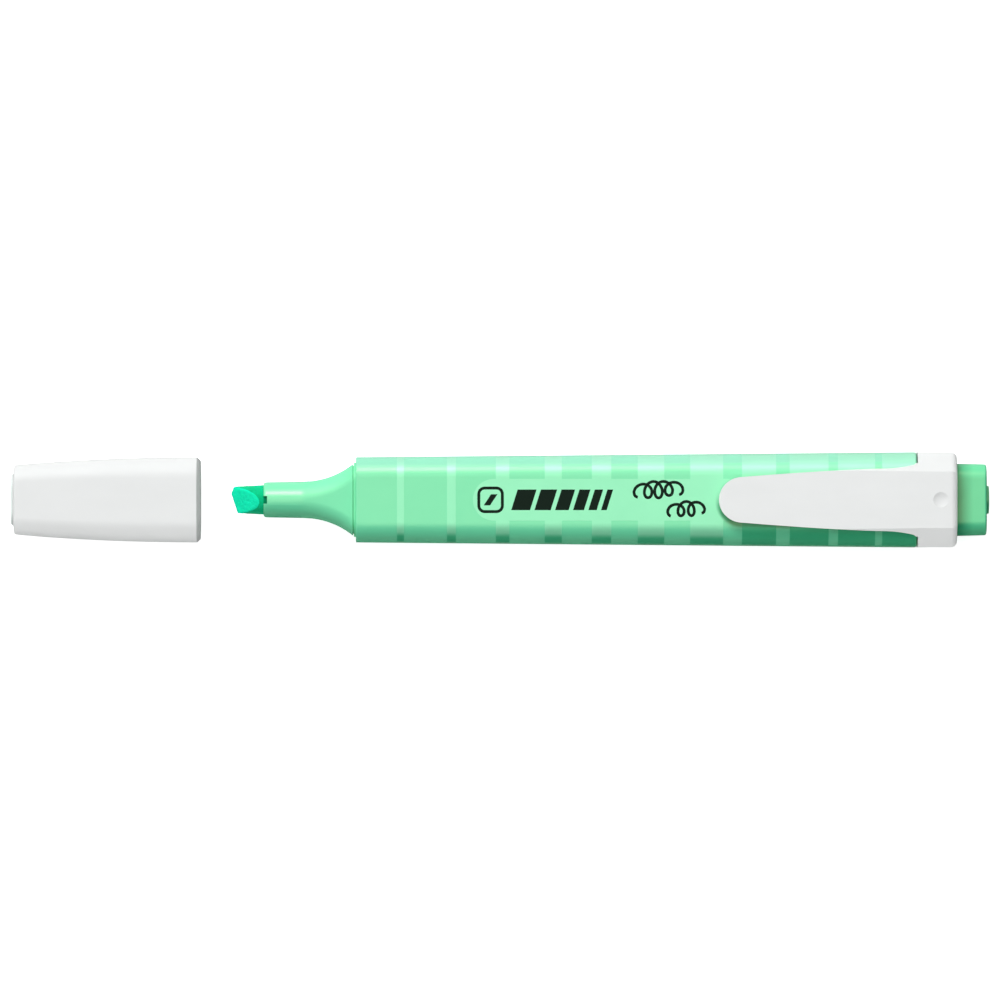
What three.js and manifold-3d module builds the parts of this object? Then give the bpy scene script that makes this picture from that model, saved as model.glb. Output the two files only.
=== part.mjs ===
// A flat pocket highlighter with its cap pulled off and lying in line in front of the nib.
//
// Millimetres. The pen lies on its flat back: X runs along the pen from the cap to the end plug,
// Y runs across it and Z points up through the clip. The origin is under the middle of the whole
// layout, on the surface that the pen lies on.

import * as THREE from "three";
import { mergeVertices } from "three/addons/utils/BufferGeometryUtils.js";
import Module from "manifold-3d";

const manifold = await Module();
manifold.setup();

// Driving dimensions

const LAYOUT_END = 83.18; // half the length of the pen and its cap, laid in line
const THICKNESS = 10.8; // barrel and cap mouth, front to back
const AXIS_Z = THICKNESS / 2;
const CAP_TRAVEL = 26.4; // from the cap lying free to the cap seated
const SEAT_GAP = 0.08; // left between the seated cap and the barrel

const BARREL = {
  front: -24.5,
  shoulder: 70.6, // where the full section ends and the neck starts
  neckEnd: 76.4,
  frontWidth: 14.5,
  rearWidth: 16.2,
  frontRadius: 3.4,
  rearRadius: 3.7,
  lip: 0.4, // rounding of the front edge
  wall: 1.3,
  neckWidth: 12.9,
  neckHeight: 9.0,
  neckRadius: 3,
  neckWall: 0.9,
};

const NOSE = {
  front: -40.21,
  boreRadius: 2.62,
  lipRadius: 2.72,
  tubeStart: -39.5,
  tubeRadius: 3.0,
  lipRoundStart: 0.3, // how far behind the front the lip is nearly full size
  lipRoundInset: 0.12,
  flareStart: -33.58,
  flareStartRadius: 3.1,
  flareEnd: -25.04,
  flareWidth: 12.16,
  flareHeight: 8.5,
  flareRadius: 2.6,
  ringStart: -24.87,
  ringEnd: -24.55,
  ringWidth: 12.6,
  ringHeight: 8.9,
  ringRadius: 2.8,
  grooveDepth: 0.3,
  step: 0.04, // length of a near-square step between two sizes
  spigotEnd: -15,
  spigotGap: 0.1,
  wall: 1.1,
  chamberStart: -24.04,
  chamberRadius: 1.6,
  ventWidth: 1.27,
  ventLength: 0.62,
};

const NIB = {
  tip: -45.73,
  tail: -9.5,
  rodRadius: 2.5,
  tipRadius: 2.17,
  tailTaper: 1, // length of the tail's cone
  tailRadius: 1.9,
  chiselThickness: 0.7,
  facetSlope: 28.5, // degrees between a facet and the nib's middle plane
  edgeSkew: 18.1, // degrees that the writing edge leans away from square
  edgeCorner: 1.04, // where across the nib the long edge meets its short corner cut
  cornerCut: 22, // degrees between the corner cut and square, the other way
};

const RESERVOIR = {
  front: -13.5,
  rear: 66,
  width: 10.2,
  height: 6.3,
  socketRadius: 2.75,
  socketDepth: 4.6,
  filmGap: 0.05,
  filmWall: 0.25,
  filmOverhang: 0.25,
};

const CAP = {
  end: -82.5, // where the side walls end and the domed end starts
  domeHeight: 0.35,
  domeInset: 1.65, // from the side walls to the flat middle of the end
  mouth: BARREL.front - SEAT_GAP - CAP_TRAVEL,
  mouthWidth: 14.5,
  endWidth: 11.4,
  endHeight: 9.4,
  mouthRadius: 3.6,
  endRadius: 3.0,
  taperPower: 2.1,
  lip: 0.5, // rounding round the mouth
  edge: 0.45, // rounding round the closed end
  wall: 0.83,
  endWall: 1.2,
  windowWidth: 8.75,
  windowHeight: 5.75,
  windowRadius: 2.45,
};

const LINER = {
  closedEnd: -73.4,
  mouth: -62.2,
  boreRadius: 3.25,
  wall: 0.65,
  endWall: 0.8,
  postRadius: 2.2,
  shoulderWidth: 9.0,
  shoulderHeight: 6.5,
  shoulderEnd: -79.4,
  bossStart: -81.15,
  bossWidth: 8.6,
  bossHeight: 5.6,
  bossRadius: 2.4,
  bossEdge: 0.25,
};

const CLIP = {
  top: 13.4,
  tipTop: 12.95,
  rootUnder: 11.9,
  tipUnder: 11.6,
  tip: 37.15,
  sideBow: 55, // where the long sides bow out most
  sideBowDepth: 0.2,
  tipLength: 2.9, // of the half ellipse at the tip
  tipWidth: 7.96,
  rootWidth: 10.6,
  rootEnd: 70.65,
  flareStart: 65.2,
  flareWidth: 11.9,
  flareBend: 2, // from the flare's start to the middle of its curve
  nubCentre: 41,
  nubLength: 2.6,
  nubUnder: 10.95,
};

const COLLAR = {
  front: 70.95,
  rear: 77.61,
  flatWidth: 9.5,
  shoulderZ: 10.3, // where the slanted shoulder meets the side
  cornerRadius: 3.7,
  rearRound: 0.8,
  rearWall: 0.9,
  boreGap: 0.1,
  windowRadius: 2.4,
  windowWidth: 11.4,
  windowHeight: 7.6,
  dimpleX: 75.14,
  dimpleRadius: 1.3,
  dimpleDepth: 0.35,
};

const PLUG = {
  headStart: 77.7,
  headEnd: 82.72,
  headWidth: 12.3,
  headTaper: 0.22,
  headHeight: 8.5,
  headRadius: 2.9,
  edge: 0.6,
  stubRadius: 2.38,
  stubEdge: 0.15,
  skirtStart: 67,
  skirtWidth: 10.85,
  skirtHeight: 6.95,
  skirtRadius: 2.05,
  skirtWall: 1.0,
  skirtDepth: 9.5,
};

const CORNER_STEPS = 6; // straight pieces in each rounded corner
const ROUND_STEPS = 32; // sides of a round rod
const EDGE_STEPS = 3; // rings in a rounded edge

// Solids

function toSolid(geometry) {
  const bare = geometry.clone();
  bare.deleteAttribute("normal");
  bare.deleteAttribute("uv");
  const merged = mergeVertices(bare, 1e-5);
  return new manifold.Manifold(
    new manifold.Mesh({
      numProp: 3,
      vertProperties: new Float32Array(merged.attributes.position.array),
      triVerts: new Uint32Array(merged.index.array),
    }),
  );
}

function toMesh(name, solid, material) {
  const { vertProperties, triVerts } = solid.getMesh();
  const geometry = new THREE.BufferGeometry();
  geometry.setAttribute("position", new THREE.BufferAttribute(vertProperties, 3));
  geometry.setIndex(new THREE.BufferAttribute(triVerts, 1));
  geometry.computeVertexNormals();
  const mesh = new THREE.Mesh(geometry, material);
  mesh.name = name;
  return mesh;
}

// The outline of a rounded rectangle across the pen, as [y, z] points that run from Y towards Z.
function roundedOutline(width, height, radius) {
  const r = Math.min(radius, 0.49 * width, 0.49 * height);
  const corners = [
    [width / 2 - r, height / 2 - r],
    [r - width / 2, height / 2 - r],
    [r - width / 2, r - height / 2],
    [width / 2 - r, r - height / 2],
  ];
  return corners.flatMap(([y, z], quarter) =>
    Array.from({ length: CORNER_STEPS + 1 }, (_, i) => {
      const angle = ((quarter + i / CORNER_STEPS) * Math.PI) / 2;
      return [y + r * Math.cos(angle), AXIS_Z + z + r * Math.sin(angle)];
    }),
  );
}

// A solid through convex outlines of equal length. A section is {x, outline}, in rising x.
function loft(sections) {
  const count = sections[0].outline.length;
  const positions = sections.flatMap(({ x, outline }) => outline.flatMap(([y, z]) => [x, y, z]));
  const indices = [];
  for (let s = 0; s + 1 < sections.length; s += 1) {
    for (let i = 0; i < count; i += 1) {
      const a = s * count + i;
      const b = s * count + ((i + 1) % count);
      indices.push(a, b, b + count, a, b + count, a + count);
    }
  }
  for (const [s, facing] of [[0, -1], [sections.length - 1, 1]]) {
    const { x, outline } = sections[s];
    const middle = outline.reduce(([y, z], p) => [y + p[0] / count, z + p[1] / count], [0, 0]);
    const centre = positions.length / 3;
    positions.push(x, ...middle);
    for (let i = 0; i < count; i += 1) {
      const a = s * count + i;
      const b = s * count + ((i + 1) % count);
      indices.push(centre, ...(facing > 0 ? [a, b] : [b, a]));
    }
  }
  const geometry = new THREE.BufferGeometry();
  geometry.setAttribute("position", new THREE.Float32BufferAttribute(positions, 3));
  geometry.setIndex(indices);
  return toSolid(geometry);
}

const block = (x, width, height, radius) => ({ x, outline: roundedOutline(width, height, radius) });

function prism(start, end, width, height, radius) {
  return loft([block(start, width, height, radius), block(end, width, height, radius)]);
}

// Rings that round the edge between a side wall and an end: distance along x, and how far the
// outline has drawn in, from the end face to the side wall.
function edgeRings(radius) {
  return Array.from({ length: EDGE_STEPS + 1 }, (_, i) => {
    const angle = (i / EDGE_STEPS) * (Math.PI / 2);
    return { along: radius * (1 - Math.sin(angle)), inset: radius * (1 - Math.cos(angle)) };
  }).reverse();
}

// A solid of revolution about the pen's axis, from [x, radius] points in rising x.
function turned(points, steps = ROUND_STEPS) {
  const profile = points.map(([x, radius]) => new THREE.Vector2(radius, x));
  const geometry = new THREE.LatheGeometry(profile, steps);
  geometry.rotateZ(-Math.PI / 2);
  geometry.translate(0, 0, AXIS_Z);
  return toSolid(geometry);
}

const rod = (start, end, radius) => turned([[start, 0], [start, radius], [end, radius], [end, 0]]);

function box(xRange, yRange, zRange) {
  const ranges = [xRange, yRange, zRange];
  const geometry = new THREE.BoxGeometry(...ranges.map(([low, high]) => high - low));
  geometry.translate(...ranges.map(([low, high]) => (low + high) / 2));
  return toSolid(geometry);
}

// Pieces

function capSize(x) {
  const remaining = THREE.MathUtils.clamp((CAP.mouth - x) / (CAP.mouth - CAP.end), 0, 1);
  const taper = remaining ** CAP.taperPower;
  return {
    width: THREE.MathUtils.lerp(CAP.mouthWidth, CAP.endWidth, taper),
    height: THREE.MathUtils.lerp(THICKNESS, CAP.endHeight, taper),
    radius: THREE.MathUtils.lerp(CAP.mouthRadius, CAP.endRadius, taper),
  };
}

function capSection(x, inset) {
  const { width, height, radius } = capSize(x);
  return block(x, width - 2 * inset, height - 2 * inset, Math.max(radius - inset, 0.5));
}

function capShell() {
  const stations = 9;
  const start = CAP.end + CAP.edge;
  const end = CAP.mouth - CAP.lip;
  const domed = edgeRings(CAP.edge).map(({ along, inset }) => capSection(CAP.end + along, inset));
  const dome = capSection(CAP.end, CAP.domeInset);
  const walls = Array.from({ length: stations - 1 }, (_, i) =>
    capSection(THREE.MathUtils.lerp(start, end, (i + 1) / stations), 0),
  );
  const lip = edgeRings(CAP.lip)
    .reverse()
    .map(({ along, inset }) => capSection(CAP.mouth - along, inset));
  const outside = loft([{ ...dome, x: CAP.end - CAP.domeHeight }, ...domed, ...walls, ...lip]);
  const insideStart = CAP.end + CAP.endWall;
  const inside = loft(
    Array.from({ length: stations + 1 }, (_, i) => {
      const x = THREE.MathUtils.lerp(insideStart, CAP.mouth, i / stations);
      return capSection(x, CAP.wall);
    }).concat(capSection(CAP.mouth + 1, CAP.wall)),
  );
  const window = prism(
    CAP.end - 1,
    insideStart + 1,
    CAP.windowWidth,
    CAP.windowHeight,
    CAP.windowRadius,
  );
  return outside.subtract(inside).subtract(window);
}

function capLiner() {
  const outer = LINER.boreRadius + LINER.wall;
  const cup = rod(LINER.closedEnd, LINER.mouth, outer)
    .subtract(rod(LINER.closedEnd + LINER.endWall, LINER.mouth + 1, LINER.boreRadius));
  const post = rod(
    LINER.shoulderEnd - LINER.endWall / 2,
    LINER.closedEnd + LINER.endWall / 2,
    LINER.postRadius,
  );
  const shoulder = prism(
    LINER.bossStart,
    LINER.shoulderEnd,
    LINER.shoulderWidth,
    LINER.shoulderHeight,
    LINER.bossRadius,
  );
  const edge = edgeRings(LINER.bossEdge).map(({ along, inset }) =>
    block(
      along - LAYOUT_END,
      LINER.bossWidth - 2 * inset,
      LINER.bossHeight - 2 * inset,
      LINER.bossRadius - inset,
    ),
  );
  const boss = loft([
    ...edge,
    block(LINER.bossStart + 0.5, LINER.bossWidth, LINER.bossHeight, LINER.bossRadius),
  ]);
  return cup.add(post).add(shoulder).add(boss);
}

// The two facets and the slanted end meet in one wedge, laid along the writing edge.
function chiselWedge() {
  const reach = 60;
  const start = NIB.chiselThickness / 2;
  const rise = start + reach * Math.tan(THREE.MathUtils.degToRad(NIB.facetSlope));
  const wedge = new THREE.Shape([
    new THREE.Vector2(0, -start),
    new THREE.Vector2(reach, -rise),
    new THREE.Vector2(reach, rise),
    new THREE.Vector2(0, start),
  ]);
  const geometry = new THREE.ExtrudeGeometry(wedge, { depth: 2 * reach, bevelEnabled: false });
  geometry.translate(0, 0, -reach);
  geometry.rotateX(Math.PI / 2);
  geometry.rotateZ(THREE.MathUtils.degToRad(NIB.edgeSkew));
  geometry.translate(NIB.tip, NIB.edgeCorner, AXIS_Z);
  return toSolid(geometry);
}

function cornerCutter() {
  const geometry = new THREE.BoxGeometry(4, 12, 12);
  geometry.translate(-2, 0, 0);
  geometry.rotateZ(THREE.MathUtils.degToRad(-NIB.cornerCut));
  geometry.translate(NIB.tip, NIB.edgeCorner, AXIS_Z);
  return toSolid(geometry);
}

function nib() {
  const body = turned([
    [NIB.tip - 1, 0],
    [NIB.tip - 1, NIB.tipRadius],
    [NOSE.front, NIB.rodRadius],
    [NIB.tail - NIB.tailTaper, NIB.rodRadius],
    [NIB.tail, NIB.tailRadius],
    [NIB.tail, 0],
  ]);
  return body.intersect(chiselWedge()).subtract(cornerCutter());
}

// The concave flare follows an arc that leaves the tube at a tangent.
function flareShare(x) {
  const along = (x - NOSE.flareStart) / (NOSE.flareEnd - NOSE.flareStart);
  const rise = (NOSE.flareWidth / 2 - NOSE.flareStartRadius) / (NOSE.flareEnd - NOSE.flareStart);
  const arcRadius = (1 + rise ** 2) / (2 * rise);
  return (arcRadius - Math.sqrt(arcRadius ** 2 - along ** 2)) / rise;
}

function noseSection() {
  const tube = NOSE.tubeRadius;
  const lipWidth = 2 * (tube - NOSE.lipRoundInset);
  const flareStations = 8;
  const flare = Array.from({ length: flareStations + 1 }, (_, i) => {
    const x = THREE.MathUtils.lerp(NOSE.flareStart, NOSE.flareEnd, i / flareStations);
    const share = flareShare(x);
    const start = 2 * NOSE.flareStartRadius;
    return block(
      x,
      THREE.MathUtils.lerp(start, NOSE.flareWidth, share),
      THREE.MathUtils.lerp(start, NOSE.flareHeight, share),
      THREE.MathUtils.lerp(start / 2, NOSE.flareRadius, share),
    );
  });
  const grooveBlock = (x) =>
    block(
      x,
      NOSE.flareWidth - 2 * NOSE.grooveDepth,
      NOSE.flareHeight - 2 * NOSE.grooveDepth,
      NOSE.flareRadius - NOSE.grooveDepth,
    );
  const spigotInset = 2 * (BARREL.wall + NOSE.spigotGap);
  const spigotWidth = BARREL.frontWidth - spigotInset;
  const spigotHeight = THICKNESS - spigotInset;
  const spigotRadius = BARREL.frontRadius - BARREL.wall;
  const outside = loft([
    block(NOSE.front, 2 * NOSE.lipRadius, 2 * NOSE.lipRadius, NOSE.lipRadius),
    block(NOSE.front + NOSE.lipRoundStart, lipWidth, lipWidth, tube),
    block(NOSE.tubeStart, 2 * tube, 2 * tube, tube),
    ...flare,
    grooveBlock(NOSE.flareEnd + NOSE.step),
    grooveBlock(NOSE.ringStart - NOSE.step),
    block(NOSE.ringStart, NOSE.ringWidth, NOSE.ringHeight, NOSE.ringRadius),
    block(NOSE.ringEnd - NOSE.step, NOSE.ringWidth, NOSE.ringHeight, NOSE.ringRadius),
    block(NOSE.ringEnd, spigotWidth, spigotHeight, spigotRadius),
    block(NOSE.spigotEnd, spigotWidth, spigotHeight, spigotRadius),
  ]);
  const throat = rod(NOSE.front - 1, NOSE.chamberStart + 1, NOSE.boreRadius);
  const chamber = prism(
    NOSE.chamberStart,
    NOSE.spigotEnd + 1,
    spigotWidth - 2 * NOSE.wall,
    spigotHeight - 2 * NOSE.wall,
    NOSE.chamberRadius,
  );
  const vent = box(
    [NOSE.front - 1, NOSE.front + NOSE.ventLength],
    [-NOSE.ventWidth / 2, NOSE.ventWidth / 2],
    [0, THICKNESS],
  );
  return outside.subtract(throat).subtract(chamber).subtract(vent);
}

function barrelSection(x, inset) {
  const share = (x - BARREL.front) / (BARREL.shoulder - BARREL.front);
  return block(
    x,
    THREE.MathUtils.lerp(BARREL.frontWidth, BARREL.rearWidth, share) - 2 * inset,
    THICKNESS - 2 * inset,
    THREE.MathUtils.lerp(BARREL.frontRadius, BARREL.rearRadius, share) - inset,
  );
}

function barrel() {
  const front = edgeRings(BARREL.lip).map(({ along, inset }) =>
    barrelSection(BARREL.front + along, inset),
  );
  const body = loft([...front, barrelSection(BARREL.shoulder, 0)]);
  const neck = prism(
    BARREL.shoulder - 2,
    BARREL.neckEnd,
    BARREL.neckWidth,
    BARREL.neckHeight,
    BARREL.neckRadius,
  );
  const neckBore = prism(
    BARREL.shoulder - 3,
    BARREL.neckEnd + 1,
    BARREL.neckWidth - 2 * BARREL.neckWall,
    BARREL.neckHeight - 2 * BARREL.neckWall,
    BARREL.neckRadius - BARREL.neckWall,
  );
  const bore = loft([
    barrelSection(BARREL.front - 1, BARREL.wall),
    barrelSection(BARREL.shoulder - 2.5, BARREL.wall),
  ]);
  return body.add(neck).subtract(bore).subtract(neckBore);
}

function inkReservoir() {
  const core = prism(
    RESERVOIR.front,
    RESERVOIR.rear,
    RESERVOIR.width,
    RESERVOIR.height,
    RESERVOIR.height / 2,
  );
  const socketEnd = RESERVOIR.front + RESERVOIR.socketDepth;
  return core.subtract(rod(RESERVOIR.front - 1, socketEnd, RESERVOIR.socketRadius));
}

function reservoirWrap() {
  const inner = 2 * RESERVOIR.filmGap;
  const outer = inner + 2 * RESERVOIR.filmWall;
  const start = RESERVOIR.front - RESERVOIR.filmOverhang;
  const end = RESERVOIR.rear + RESERVOIR.filmOverhang;
  const sleeve = (from, to, extra) =>
    prism(
      from,
      to,
      RESERVOIR.width + extra,
      RESERVOIR.height + extra,
      (RESERVOIR.height + extra) / 2,
    );
  return sleeve(start, end, outer).subtract(sleeve(start - 1, end + 1, inner));
}

// Flat back, rounded lower corners, upright sides and slanted shoulders up to a flat top.
function collarOutline(inset) {
  const half = BARREL.rearWidth / 2 - inset;
  const flat = COLLAR.flatWidth / 2 - inset / 2;
  const r = COLLAR.cornerRadius - inset;
  const top = CLIP.top - inset;
  const shoulder = COLLAR.shoulderZ - inset;
  const arc = (side, from) =>
    Array.from({ length: CORNER_STEPS + 1 }, (_, i) => {
      const angle = from + (i / CORNER_STEPS) * (Math.PI / 2);
      return [side * (half - r) + r * Math.cos(angle), inset + r + r * Math.sin(angle)];
    });
  return [
    [half, shoulder],
    [flat, top],
    [-flat, top],
    [-half, shoulder],
    ...arc(-1, Math.PI),
    ...arc(1, 1.5 * Math.PI),
  ];
}

function clipCollar() {
  const rear = edgeRings(COLLAR.rearRound)
    .reverse()
    .map(({ along, inset }) => ({ x: COLLAR.rear - along, outline: collarOutline(inset) }));
  const body = loft([{ x: COLLAR.front, outline: collarOutline(0) }, ...rear]);
  const bore = prism(
    COLLAR.front - 1,
    COLLAR.rear - COLLAR.rearWall,
    BARREL.neckWidth + 2 * COLLAR.boreGap,
    BARREL.neckHeight + 2 * COLLAR.boreGap,
    BARREL.neckRadius + COLLAR.boreGap,
  );
  const window = prism(
    COLLAR.front - 1,
    COLLAR.rear + 1,
    COLLAR.windowWidth,
    COLLAR.windowHeight,
    COLLAR.windowRadius,
  );
  const ballRadius =
    (COLLAR.dimpleRadius ** 2 + COLLAR.dimpleDepth ** 2) / (2 * COLLAR.dimpleDepth);
  const ball = new THREE.SphereGeometry(ballRadius, ROUND_STEPS, ROUND_STEPS / 2);
  ball.rotateX(Math.PI / 2);
  ball.translate(COLLAR.dimpleX, 0, CLIP.top + ballRadius - COLLAR.dimpleDepth);
  return body.subtract(bore).subtract(window).subtract(toSolid(ball));
}

// The tongue is its outline seen from above, crossed with its outline seen from the side.
function clipTongue() {
  const plan = new THREE.Shape();
  const tipEnd = CLIP.tip + CLIP.tipLength;
  const half = CLIP.rootWidth / 2;
  const bend = CLIP.flareStart + CLIP.flareBend;
  plan.moveTo(CLIP.rootEnd, -CLIP.flareWidth / 2);
  plan.lineTo(CLIP.rootEnd, CLIP.flareWidth / 2);
  plan.quadraticCurveTo(bend, half, CLIP.flareStart, half);
  plan.quadraticCurveTo(CLIP.sideBow, half - CLIP.sideBowDepth, tipEnd, CLIP.tipWidth / 2);
  plan.absellipse(tipEnd, 0, CLIP.tipLength, CLIP.tipWidth / 2, Math.PI / 2, 1.5 * Math.PI);
  plan.quadraticCurveTo(CLIP.sideBow, CLIP.sideBowDepth - half, CLIP.flareStart, -half);
  plan.quadraticCurveTo(bend, -half, CLIP.rootEnd, -CLIP.flareWidth / 2);
  const fromAbove = new THREE.ExtrudeGeometry(plan, {
    depth: THICKNESS,
    bevelEnabled: false,
    curveSegments: 8,
  });
  fromAbove.translate(0, 0, AXIS_Z);

  const side = new THREE.Shape();
  side.moveTo(CLIP.tip - 1, CLIP.tipUnder);
  side.lineTo(CLIP.nubCentre - CLIP.nubLength / 2, CLIP.tipUnder);
  side.quadraticCurveTo(
    CLIP.nubCentre,
    2 * CLIP.nubUnder - CLIP.tipUnder,
    CLIP.nubCentre + CLIP.nubLength / 2,
    CLIP.tipUnder,
  );
  side.lineTo(CLIP.rootEnd + 1, CLIP.rootUnder);
  side.lineTo(CLIP.rootEnd + 1, CLIP.top);
  side.lineTo(CLIP.flareStart, CLIP.top);
  side.lineTo(CLIP.tip - 1, CLIP.tipTop);
  const fromSide = new THREE.ExtrudeGeometry(side, {
    depth: 2 * CLIP.flareWidth,
    bevelEnabled: false,
    curveSegments: 6,
  });
  fromSide.translate(0, 0, -CLIP.flareWidth);
  fromSide.rotateX(Math.PI / 2);
  return toSolid(fromAbove).intersect(toSolid(fromSide));
}

function endPlug() {
  const rear = edgeRings(PLUG.edge)
    .reverse()
    .map(({ along, inset }) =>
      block(
        PLUG.headEnd - along,
        PLUG.headWidth - PLUG.headTaper - 2 * inset,
        PLUG.headHeight - 2 * inset,
        PLUG.headRadius - inset,
      ),
    );
  const head = loft([
    block(PLUG.headStart, PLUG.headWidth, PLUG.headHeight, PLUG.headRadius),
    ...rear,
  ]);
  const stub = turned([
    [PLUG.headEnd - 1, 0],
    [PLUG.headEnd - 1, PLUG.stubRadius],
    [LAYOUT_END - PLUG.stubEdge, PLUG.stubRadius],
    [LAYOUT_END, PLUG.stubRadius - PLUG.stubEdge],
    [LAYOUT_END, 0],
  ]);
  const skirt = prism(
    PLUG.skirtStart,
    PLUG.headStart + 1,
    PLUG.skirtWidth,
    PLUG.skirtHeight,
    PLUG.skirtRadius,
  );
  const hollow = prism(
    PLUG.skirtStart - 1,
    PLUG.skirtStart + PLUG.skirtDepth,
    PLUG.skirtWidth - 2 * PLUG.skirtWall,
    PLUG.skirtHeight - 2 * PLUG.skirtWall,
    PLUG.skirtRadius - PLUG.skirtWall,
  );
  return head.add(stub).add(skirt).subtract(hollow);
}

// Materials

const plastic = (color, roughness) =>
  new THREE.MeshStandardMaterial({ color, roughness, metalness: 0 });

const material = {
  white: plastic(0xeceeed, 0.35),
  natural: plastic(0xe3eae8, 0.45),
  mint: plastic(0x8defb9, 0.3),
  nib: plastic(0x12d89a, 0.95),
  fibre: plastic(0x3fdca0, 0.95),
  film: plastic(0xdfe8ea, 0.2),
};

const highlighter = new THREE.Group();
highlighter.add(
  toMesh("cap_shell", capShell(), material.white),
  toMesh("cap_liner", capLiner(), material.natural),
  toMesh("nib", nib(), material.nib),
  toMesh("nose_section", noseSection(), material.mint),
  toMesh("barrel", barrel(), material.mint),
  toMesh("ink_reservoir", inkReservoir(), material.fibre),
  toMesh("reservoir_wrap", reservoirWrap(), material.film),
  toMesh("clip_collar", clipCollar(), material.white),
  toMesh("clip_tongue", clipTongue(), material.white),
  toMesh("end_plug", endPlug(), material.mint),
);

export default highlighter;
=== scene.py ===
"""Models the visible pieces of a flat pocket highlighter round its frame, and its studio stage."""

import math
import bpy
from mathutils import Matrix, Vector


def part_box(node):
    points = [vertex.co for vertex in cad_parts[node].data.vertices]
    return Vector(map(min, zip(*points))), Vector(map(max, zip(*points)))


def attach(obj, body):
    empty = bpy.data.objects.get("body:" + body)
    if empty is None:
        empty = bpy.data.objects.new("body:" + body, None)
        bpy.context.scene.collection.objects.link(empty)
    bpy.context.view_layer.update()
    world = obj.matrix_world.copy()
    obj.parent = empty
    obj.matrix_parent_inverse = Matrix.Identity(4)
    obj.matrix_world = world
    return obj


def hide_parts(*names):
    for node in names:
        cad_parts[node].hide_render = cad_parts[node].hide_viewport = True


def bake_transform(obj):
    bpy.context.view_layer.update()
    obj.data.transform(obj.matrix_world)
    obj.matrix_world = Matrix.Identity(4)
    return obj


bl_info = {
    "name": "Pocket highlighter",
    "version": (1, 0, 0),
    "blender": (4, 5, 0),
    "location": "3D View > Sidebar > Highlighter",
    "description": "Models the cap, nose, nib, barrel, clip and plug of a flat pocket highlighter",
    "category": "Object",
}

import bmesh
import bpy

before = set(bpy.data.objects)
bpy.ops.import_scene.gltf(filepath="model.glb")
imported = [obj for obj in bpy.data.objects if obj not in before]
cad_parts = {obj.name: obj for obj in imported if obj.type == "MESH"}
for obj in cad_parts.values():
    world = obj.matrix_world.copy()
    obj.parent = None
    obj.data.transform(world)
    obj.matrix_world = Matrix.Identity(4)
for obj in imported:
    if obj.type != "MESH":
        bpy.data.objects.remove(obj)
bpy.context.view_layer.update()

MM = 0.001
HALF_TURN, QUARTER_TURN = math.pi, math.pi / 2


CORNER_STEPS = 12  # pieces in each rounded corner of a section
RING_POINTS = 4 * (CORNER_STEPS + 1)  # points round a section, and round a tube that joins one
EDGE_STEPS = 5  # pieces in a rounded edge
CAP_STEPS = 26  # pieces along the cap's walls
FLARE_CUTS = 30  # cuts along the nose's flare
FILLET_STEPS, ROOT_STEPS, SIDE_STEPS, TIP_STEPS = 6, 8, 26, 18  # pieces along the clip's outline
ACROSS = (0, QUARTER_TURN, 0)  # turns a primitive so that it faces along the pen
TOUCH = 1e-6
INK_FILM = 0.01 * MM  # how far the dark print stands above the barrel

# Each scribble's start and end along the pen, its middle line and its height, in millimetres, and
# its number of loops
SCRIBBLES = ((23.4, 30.4, 1.75, 2.5, 4), (29.0, 34.2, -1.55, 2.2, 3))

# Places, from the frame

CAP_LOW, CAP_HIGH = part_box("cap_shell")
SEAL_LOW, SEAL_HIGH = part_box("cap_liner")
NIB_LOW, NIB_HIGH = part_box("nib")
NOSE_LOW, NOSE_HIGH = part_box("nose_section")
BARREL_LOW, BARREL_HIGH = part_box("barrel")
COLLAR_LOW, COLLAR_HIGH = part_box("clip_collar")
TONGUE_LOW, TONGUE_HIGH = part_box("clip_tongue")
PLUG_LOW, PLUG_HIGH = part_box("end_plug")
AXIS_Z = (BARREL_LOW[2] + BARREL_HIGH[2]) / 2
THICKNESS = BARREL_HIGH[2] - BARREL_LOW[2]


# Sizes and colours that a user would change


def length(name, millimetres, description):
    """A length property whose default is given in millimetres."""
    return bpy.props.FloatProperty(
        name=name, description=description, default=millimetres * MM, unit="LENGTH", precision=5
    )


def paint(name, default, description):
    """A colour property."""
    return bpy.props.FloatVectorProperty(
        name=name, description=description, default=default, min=0, max=1, subtype="COLOR"
    )


def slant(name, degrees, description):
    """An angle property whose default is given in degrees."""
    return bpy.props.FloatProperty(
        name=name, description=description, default=math.radians(degrees), unit="ROTATION"
    )


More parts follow.
